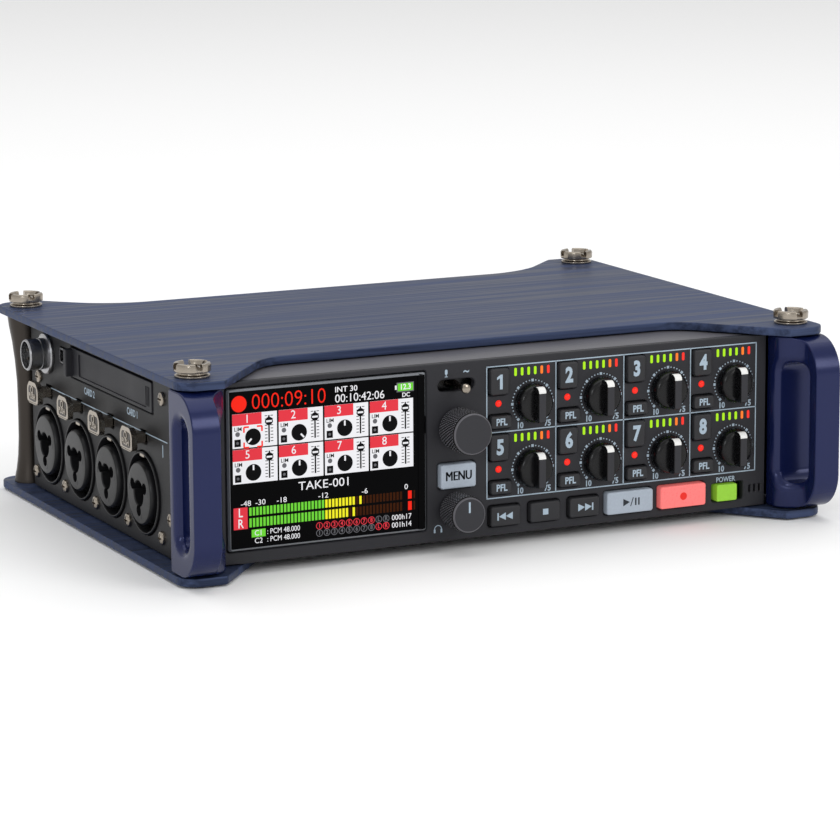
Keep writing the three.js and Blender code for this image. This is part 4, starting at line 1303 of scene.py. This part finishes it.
def main_board(port_y, port_z):
    """The main board with card sockets, the data port and the round power connector."""
    low, high = box("main_board")
    top = 34.6
    shell = prism(rect(port_y, port_z, 6.6, 4.0), low.x + 5.8, -72, "X", radii=0.5, rim=0.15)
    hollow = prism(rect(port_y, port_z, 5.7, 3.0), low.x + 4, -76, "X", radii=0.3)
    tongue = block((-83.6, port_y - 2.0, port_z - 0.3), (-76, port_y + 2.0, port_z + 0.5), 0.1)
    plug_y, plug_z = 39.4, 39.8
    at = (-71, plug_y, plug_z)
    reach = abs(low.x) - 71
    flange = turned(
        [(4.0, 13.1), (5.45, 13.1), (5.45, 13.6), (5.2, 13.95), (4.6, 14.05), (4.0, 14.05)], "left", at, 48,
        closed=True,
    )
    barrel = turned(
        [
            (3.45, 6), (4.1, 6), (4.1, reach - 3.6), (3.95, reach - 3.5), (3.95, reach - 3.2),
            (4.1, reach - 3.1), (4.1, reach - 0.35), (3.85, reach), (3.55, reach), (3.45, reach - 0.2),
        ],
        "left", at, 48, closed=True,
    )
    core = [(0, 6), (3.4, 6), (3.4, reach - 1.6), (3.1, reach - 1.3), (0, reach - 1.3)]
    insert = turned(core, "left", at, 40)
    parts = [
        (block((low.x + 11, low.y, top - 1.6), (high.x, high.y, top), 0.1), "solder_mask"),
        (block((-80.4, -36, top - 0.2), (-56, 21, 43.6), 0.4), "bright_tin"),
        (block((-80.5, -34.5, top + 0.6), (-79, 19.5, 43.1), 0.2), "moulded_nylon"),
        (block((-80.6, -32.5, 38.6), (-79, -8.5, 40.9), 0.1), "gold_plate"),
        (block((-80.6, -5.5, 38.6), (-79, 18.5, 40.9), 0.1), "gold_plate"),
        (block((-78, port_y - 3, top - 0.2), (-72, port_y + 3, 41), 0.2), "moulded_nylon"),
        (block((-80, plug_y - 3, top - 0.2), (-71.5, plug_y + 3, plug_z), 0.2), "moulded_nylon"),
        (carved(shell, hollow), "bright_tin"),
        (tongue, "moulded_nylon"),
        (flange, "bright_tin"),
        (barrel, "bright_tin"),
        (insert, "moulded_nylon"),
    ]
    for u, v in ((-1.2, -1.2), (1.2, -1.2), (-1.2, 1.2), (1.2, 1.2)):
        pin = turned([(0, 0), (0.42, 0), (0.42, 1.2), (0.25, 1.4), (0, 1.4)], "left",
                     (-71 - reach + 2.2, plug_y + u, plug_z + v), 12)
        parts.append((pin, "black_nickel"))
    return parts


class RECORDER_OT_right_side(bpy.types.Operator):
    """Right sheet with the outputs and the headphone jack"""

    bl_idname = "recorder.right_side"
    bl_label = "Right side"

    def execute(self, context):
        outputs = [(-33, 3.25, 5.6, 20), (-17, 1.8, 3.6, 14), (4, 4.1, 6.6, 15), (26, 4.1, 6.6, 15)]
        z = 40.0
        extra = [(y, z, bore + 0.9) for y, bore, _, _ in outputs]
        screws = JACK_SCREWS + [(-44, 41.4), (46, 36)]
        parts = side_sheet(1, extra, screws)
        for y, bore, nut, depth in outputs:
            at = (SIDE - depth, y, z)
            metal = "bright_tin" if nut > 6 else "nickel_plate"
            ring = turned(
                [
                    (bore, depth - 0.5), (nut, depth + 0.02), (nut, depth + 1.5), (nut - 0.5, depth + 2.1),
                    (bore + 0.5, depth + 2.1), (bore, depth + 1.8),
                ],
                "right", at, 48 if nut > 6 else 6, closed=True,
            )
            sleeve = tube(bore, bore + 0.8, 2, depth + 1.9, "right", at)
            floor = rod(bore + 0.8, 1, 2.1, "right", at)
            parts += coated(metal, ring) + coated("moulded_nylon", sleeve, floor)
            if nut > 6:  # a three-pin socket
                tapered = [(0, 0), (0.6, 0), (0.6, depth - 5), (0.35, depth - 4.5), (0, depth - 4.5)]
                for turn in (90, 210, 330):
                    a = math.radians(turn)
                    place = (SIDE - depth + 2, y + 2.1 * math.cos(a), z + 2.1 * math.sin(a))
                    parts.append((turned(tapered, "right", place, 14), "gold_plate"))
        piece("right_sheet", CHASSIS, parts, ["right_side_panel"])
        x = SIDE
        ink = [block((x - INK, -37.6, 30.85), (x + INK, 44.5, 31.1))]
        for text, y, height in (
            ("PHONES", -33, 33.2), ("LINE", -17, 34.6), ("MAIN OUT 2", 4, 32.3), ("MAIN OUT 1", 26, 32.3),
        ):
            ink.append(lettering(text, 1.9, (x, y, height), "right", bold=0.01))
        for n, y in zip((5, 6, 7, 8), JACK_YS):
            ink.append(lettering(str(n), 4.2, (x, y + 11.2, 28.2), "right", wide=0.7, bold=0.02))
        piece("right_printing", CHASSIS, coated("printing_ink", *ink))
        return {"FINISHED"}


# ------------------------------------------------------------------ rear


class RECORDER_OT_rear(bpy.types.Operator):
    """Rear sheet, battery cover, time-code sockets and capsule socket"""

    bl_idname = "recorder.rear"
    bl_label = "Rear"

    def execute(self, context):
        face = 52.0
        z_row = 35.5
        low, high = box("rear_panel")
        openings = [(0, 14, 106, 17, 1.5), (0, z_row, 26, 8, 1)]
        sheet = perforated(outline(low, high), openings, face, face - 1.5, radius=0.4, rim=0.2)
        mouth = (0, z_row, 25, 7, 1)
        hood = perforated(rect(0, z_row, 30, 12), [mouth], face + 1.5, face - 8, radius=1.5, rim=0.4)
        parts = [
            (sheet, "powder_coated_steel"), (hood, "moulded_nylon"),
            (block((-15, face - 9, z_row - 6), (15, face - 7.8, z_row + 6), 0.2), "moulded_nylon"),
        ]
        for i in range(10):
            x = -10.35 + 2.3 * i
            for z in (z_row - 1.9, z_row + 1.3):
                contact = block((x - 0.35, face - 8, z), (x + 0.35, face - 4, z + 0.6), 0.08)
                parts.append((contact, "gold_plate"))
        for x in (46, 66):
            parts += time_code_socket(x, face, z_row, high.y)
        inlet = turned(
            [(0, 0), (4.4, 0), (4.4, 1.0), (4.1, 1.4), (2.7, 1.4), (2.6, 1.2), (2.6, 0.4), (0, 0.4)],
            "back", (-62, face - 0.2, z_row), 40,
        )
        pin = turned([(0, 0), (0.8, 0), (0.8, 1.0), (0.5, 1.3), (0, 1.3)], "back", (-62, face, z_row), 20)
        parts += [(inlet, "moulded_nylon"), (pin, "nickel_plate")]
        for x in (-76, -30, 30, 76):
            parts.append((small_screw("back", (x, face, 27.5)), "nickel_plate"))
        piece("rear_sheet", CHASSIS, parts, ["rear_panel"])
        legends = (("TIMECODE", 56, 43.8), ("IN", 66, 28.6), ("OUT", 46, 28.6), ("MIC CAPSULE", 0, 43.8),
                   ("DC 12V", -62, 43.8))
        ink = [
            lettering(text, 2.1 if text == "TIMECODE" else 2.0, (x, face, z), "back", bold=0.01)
            for text, x, z in legends
        ]
        piece("rear_printing", CHASSIS, coated("printing_ink", *ink))
        low, high = box("battery_cover")
        cover = prism(outline(low, high), low.y + 1.6, low.y, radii=1.5, rim=0.35)
        ridge = block((-9, low.y + 1.2, 19.0), (9, high.y, 20.4), 0.35)
        ribs = [
            block((x, low.y + 1.4, 6.5), (x + 1.2, low.y + 1.9, 12.5), 0.2) for x in range(-48, 49, 4)
        ]
        word = lettering("BATTERY", 2.4, (0, low.y + 1.6, 16.2), "back", bold=0.01)
        parts = coated("moulded_abs", cover, ridge, *ribs) + coated("printing_ink", word)
        piece("battery_door", "battery_cover", parts, ["battery_cover"])
        low, high = box("battery_case")
        case = prism(
            rect(0, (low.z + high.z) / 2, high.x - low.x, high.z - low.z), high.y, low.y, radii=3, rim=0.6
        )
        pull = block((-8, high.y - 1.0, 12.6), (8, high.y - 0.02, 15.4), 0.3)
        piece("battery_sled", CHASSIS, [(case, "moulded_nylon"), (pull, "moulded_abs")],
              ["battery_case"])
        low, high = box("control_board")
        board = [(block((low.x, -52.4, low.z), (high.x, high.y, high.z), 0.1), "solder_mask")]
        for n in CHANNELS:
            x, _, z = middle(f"gain_knob_{n}")
            body = block((x - 4.1, low.y, z - 4.1), (x + 4.1, -52.2, z + 4.1), 0.3)
            board.append((body, "bright_tin"))
        piece("control_board_parts", CHASSIS, board, ["control_board"])
        return {"FINISHED"}


def time_code_socket(x, face, z, reach):
    """A bayonet socket: hexagon flange, threaded neck, barrel with two lugs, and its centre pin."""
    length = reach - face
    flange = [(4.9, -0.1), (7, -0.1), (7, 1.4), (6.6, 1.7), (4.9, 1.7)]
    nut = turned(flange, "back", (x, face, z), 6, closed=True)
    barrel = turned(
        [
            (3.95, 5.8), (3.95, length - 0.2), (4.15, length), (4.55, length), (4.8, length - 0.3),
            (4.8, 5.4), (4.4, 5.0), (4.8, 4.6), (4.4, 4.2), (4.8, 3.8), (4.4, 3.4), (4.8, 3.0), (4.4, 2.6), (4.8, 2.2),
            (4.8, 0), (0, 0), (0, 5.8),
        ],
        "back", (x, face - 0.1, z), 40,
    )
    tapered = [(0, 5), (1.6, 5), (1.6, length - 2.6), (1.2, length - 2.3), (0, length - 2.3)]
    core = turned(tapered, "back", (x, face, z), 24)
    lugs = [
        turned([(0, 0), (1, 0), (1, 5.9), (0.8, 6.1), (0, 6.1)], towards, (x, reach - 4.2, z), 16)
        for towards in ("up", "down")
    ]
    return coated("bright_tin", nut, barrel) + coated("gold_plate", core) + coated("bright_tin", *lugs)


# ------------------------------------------------------------------ stage


class RECORDER_OT_stage(bpy.types.Operator):
    """Floor, lights and camera"""

    bl_idname = "recorder.stage"
    bl_label = "Stage"

    def execute(self, context):
        scene = context.scene
        bm = bmesh.new()
        bmesh.ops.create_grid(bm, x_segments=8, y_segments=8, size=4.0)
        bmesh.ops.translate(bm, vec=(0, 0, -0.0005), verts=bm.verts)
        mesh = bpy.data.meshes.new("floor")
        bm.to_mesh(mesh)
        bm.free()
        floor = bpy.data.objects.new("floor", mesh)
        scene.collection.objects.link(floor)
        paper = bpy.data.materials.new("matt_paper")
        paper.use_nodes = True
        shader = paper.node_tree.nodes["Principled BSDF"]
        shader.inputs["Base Color"].default_value = (0.97, 0.97, 0.97, 1)
        shader.inputs["Roughness"].default_value = 0.9
        mesh.materials.append(paper)
        world = bpy.data.worlds.new("studio")
        world.use_nodes = True
        sky = world.node_tree.nodes["Background"]
        sky.inputs["Color"].default_value = (1, 1, 1, 1)
        sky.inputs["Strength"].default_value = 0.7
        scene.world = world
        scene.view_settings.view_transform = "Standard"
        lights = (
            ("overhead", (0.1, 0.25, 1.3), 1.6, 8, (1, 1, 1)),
            ("front_box", (0.75, -1.5, 0.9), 0.8, 8, (1, 0.99, 0.97)),
            ("left_strip", (-1.3, -1.3, 0.7), 0.35, 5, (0.94, 0.97, 1)),
        )
        for name, at, size, power, colour in lights:
            data = bpy.data.lights.new(name, "AREA")
            data.shape, data.size, data.energy, data.color = "SQUARE", size, power, colour
            lamp = bpy.data.objects.new(name, data)
            lamp.location = at
            lamp.rotation_mode = "QUATERNION"
            lamp.rotation_quaternion = (Vector((0, 0, 0.02)) - Vector(at)).to_track_quat("-Z", "Y")
            scene.collection.objects.link(lamp)
        yaw, pitch, roll = (math.radians(v) for v in (-25.7, 11.15, -0.29))
        back = Vector((math.sin(yaw) * math.cos(pitch), -math.cos(yaw) * math.cos(pitch), math.sin(pitch)))
        level = Vector((math.cos(yaw), math.sin(yaw), 0))
        rise = back.cross(level)
        right = level * math.cos(roll) + rise * math.sin(roll)
        up = rise * math.cos(roll) - level * math.sin(roll)
        data = bpy.data.cameras.new("camera")
        data.sensor_width, data.lens = 36, 155.86
        data.clip_start, data.clip_end = 0.02, 20
        camera = bpy.data.objects.new("camera", data)
        turn = Matrix((right, up, back)).transposed().to_4x4()
        camera.matrix_world = Matrix.Translation((-0.4022, -0.84635, 0.206)) @ turn
        scene.collection.objects.link(camera)
        scene.camera = camera
        return {"FINISHED"}


# ------------------------------------------------------------------ panel and registration

OPERATORS = (
    RECORDER_OT_plates,
    RECORDER_OT_guards,
    RECORDER_OT_panel,
    RECORDER_OT_display,
    RECORDER_OT_keys,
    RECORDER_OT_dials,
    RECORDER_OT_jacks,
    RECORDER_OT_left_side,
    RECORDER_OT_right_side,
    RECORDER_OT_rear,
    RECORDER_OT_stage,
)


class RECORDER_PT_sidebar(bpy.types.Panel):
    """Lists the recorder's groups of pieces, its sizes and its colours"""

    bl_label = "Field Recorder"
    bl_idname = "RECORDER_PT_sidebar"
    bl_space_type = "VIEW_3D"
    bl_region_type = "UI"
    bl_category = "Recorder"

    def draw(self, context):
        layout = self.layout
        for operator in OPERATORS:
            layout.operator(operator.bl_idname)
        for group in (context.scene.recorder_sizes, context.scene.recorder_colours):
            column = layout.column()
            for name in group.__annotations__:
                column.prop(group, name)


CLASSES = (RecorderColours, RecorderSizes, *OPERATORS, RECORDER_PT_sidebar)


def register():
    """Adds the classes and the two groups of settings."""
    for cls in CLASSES:
        bpy.utils.register_class(cls)
    bpy.types.Scene.recorder_colours = bpy.props.PointerProperty(type=RecorderColours)
    bpy.types.Scene.recorder_sizes = bpy.props.PointerProperty(type=RecorderSizes)


def unregister():
    """Takes them away again."""
    del bpy.types.Scene.recorder_sizes
    del bpy.types.Scene.recorder_colours
    for cls in reversed(CLASSES):
        bpy.utils.unregister_class(cls)


def main():
    """Makes every piece and the stage."""
    register()
    for operator in OPERATORS:
        group, name = operator.bl_idname.split(".")
        getattr(getattr(bpy.ops, group), name)()


if __name__ == "__main__":
    main()
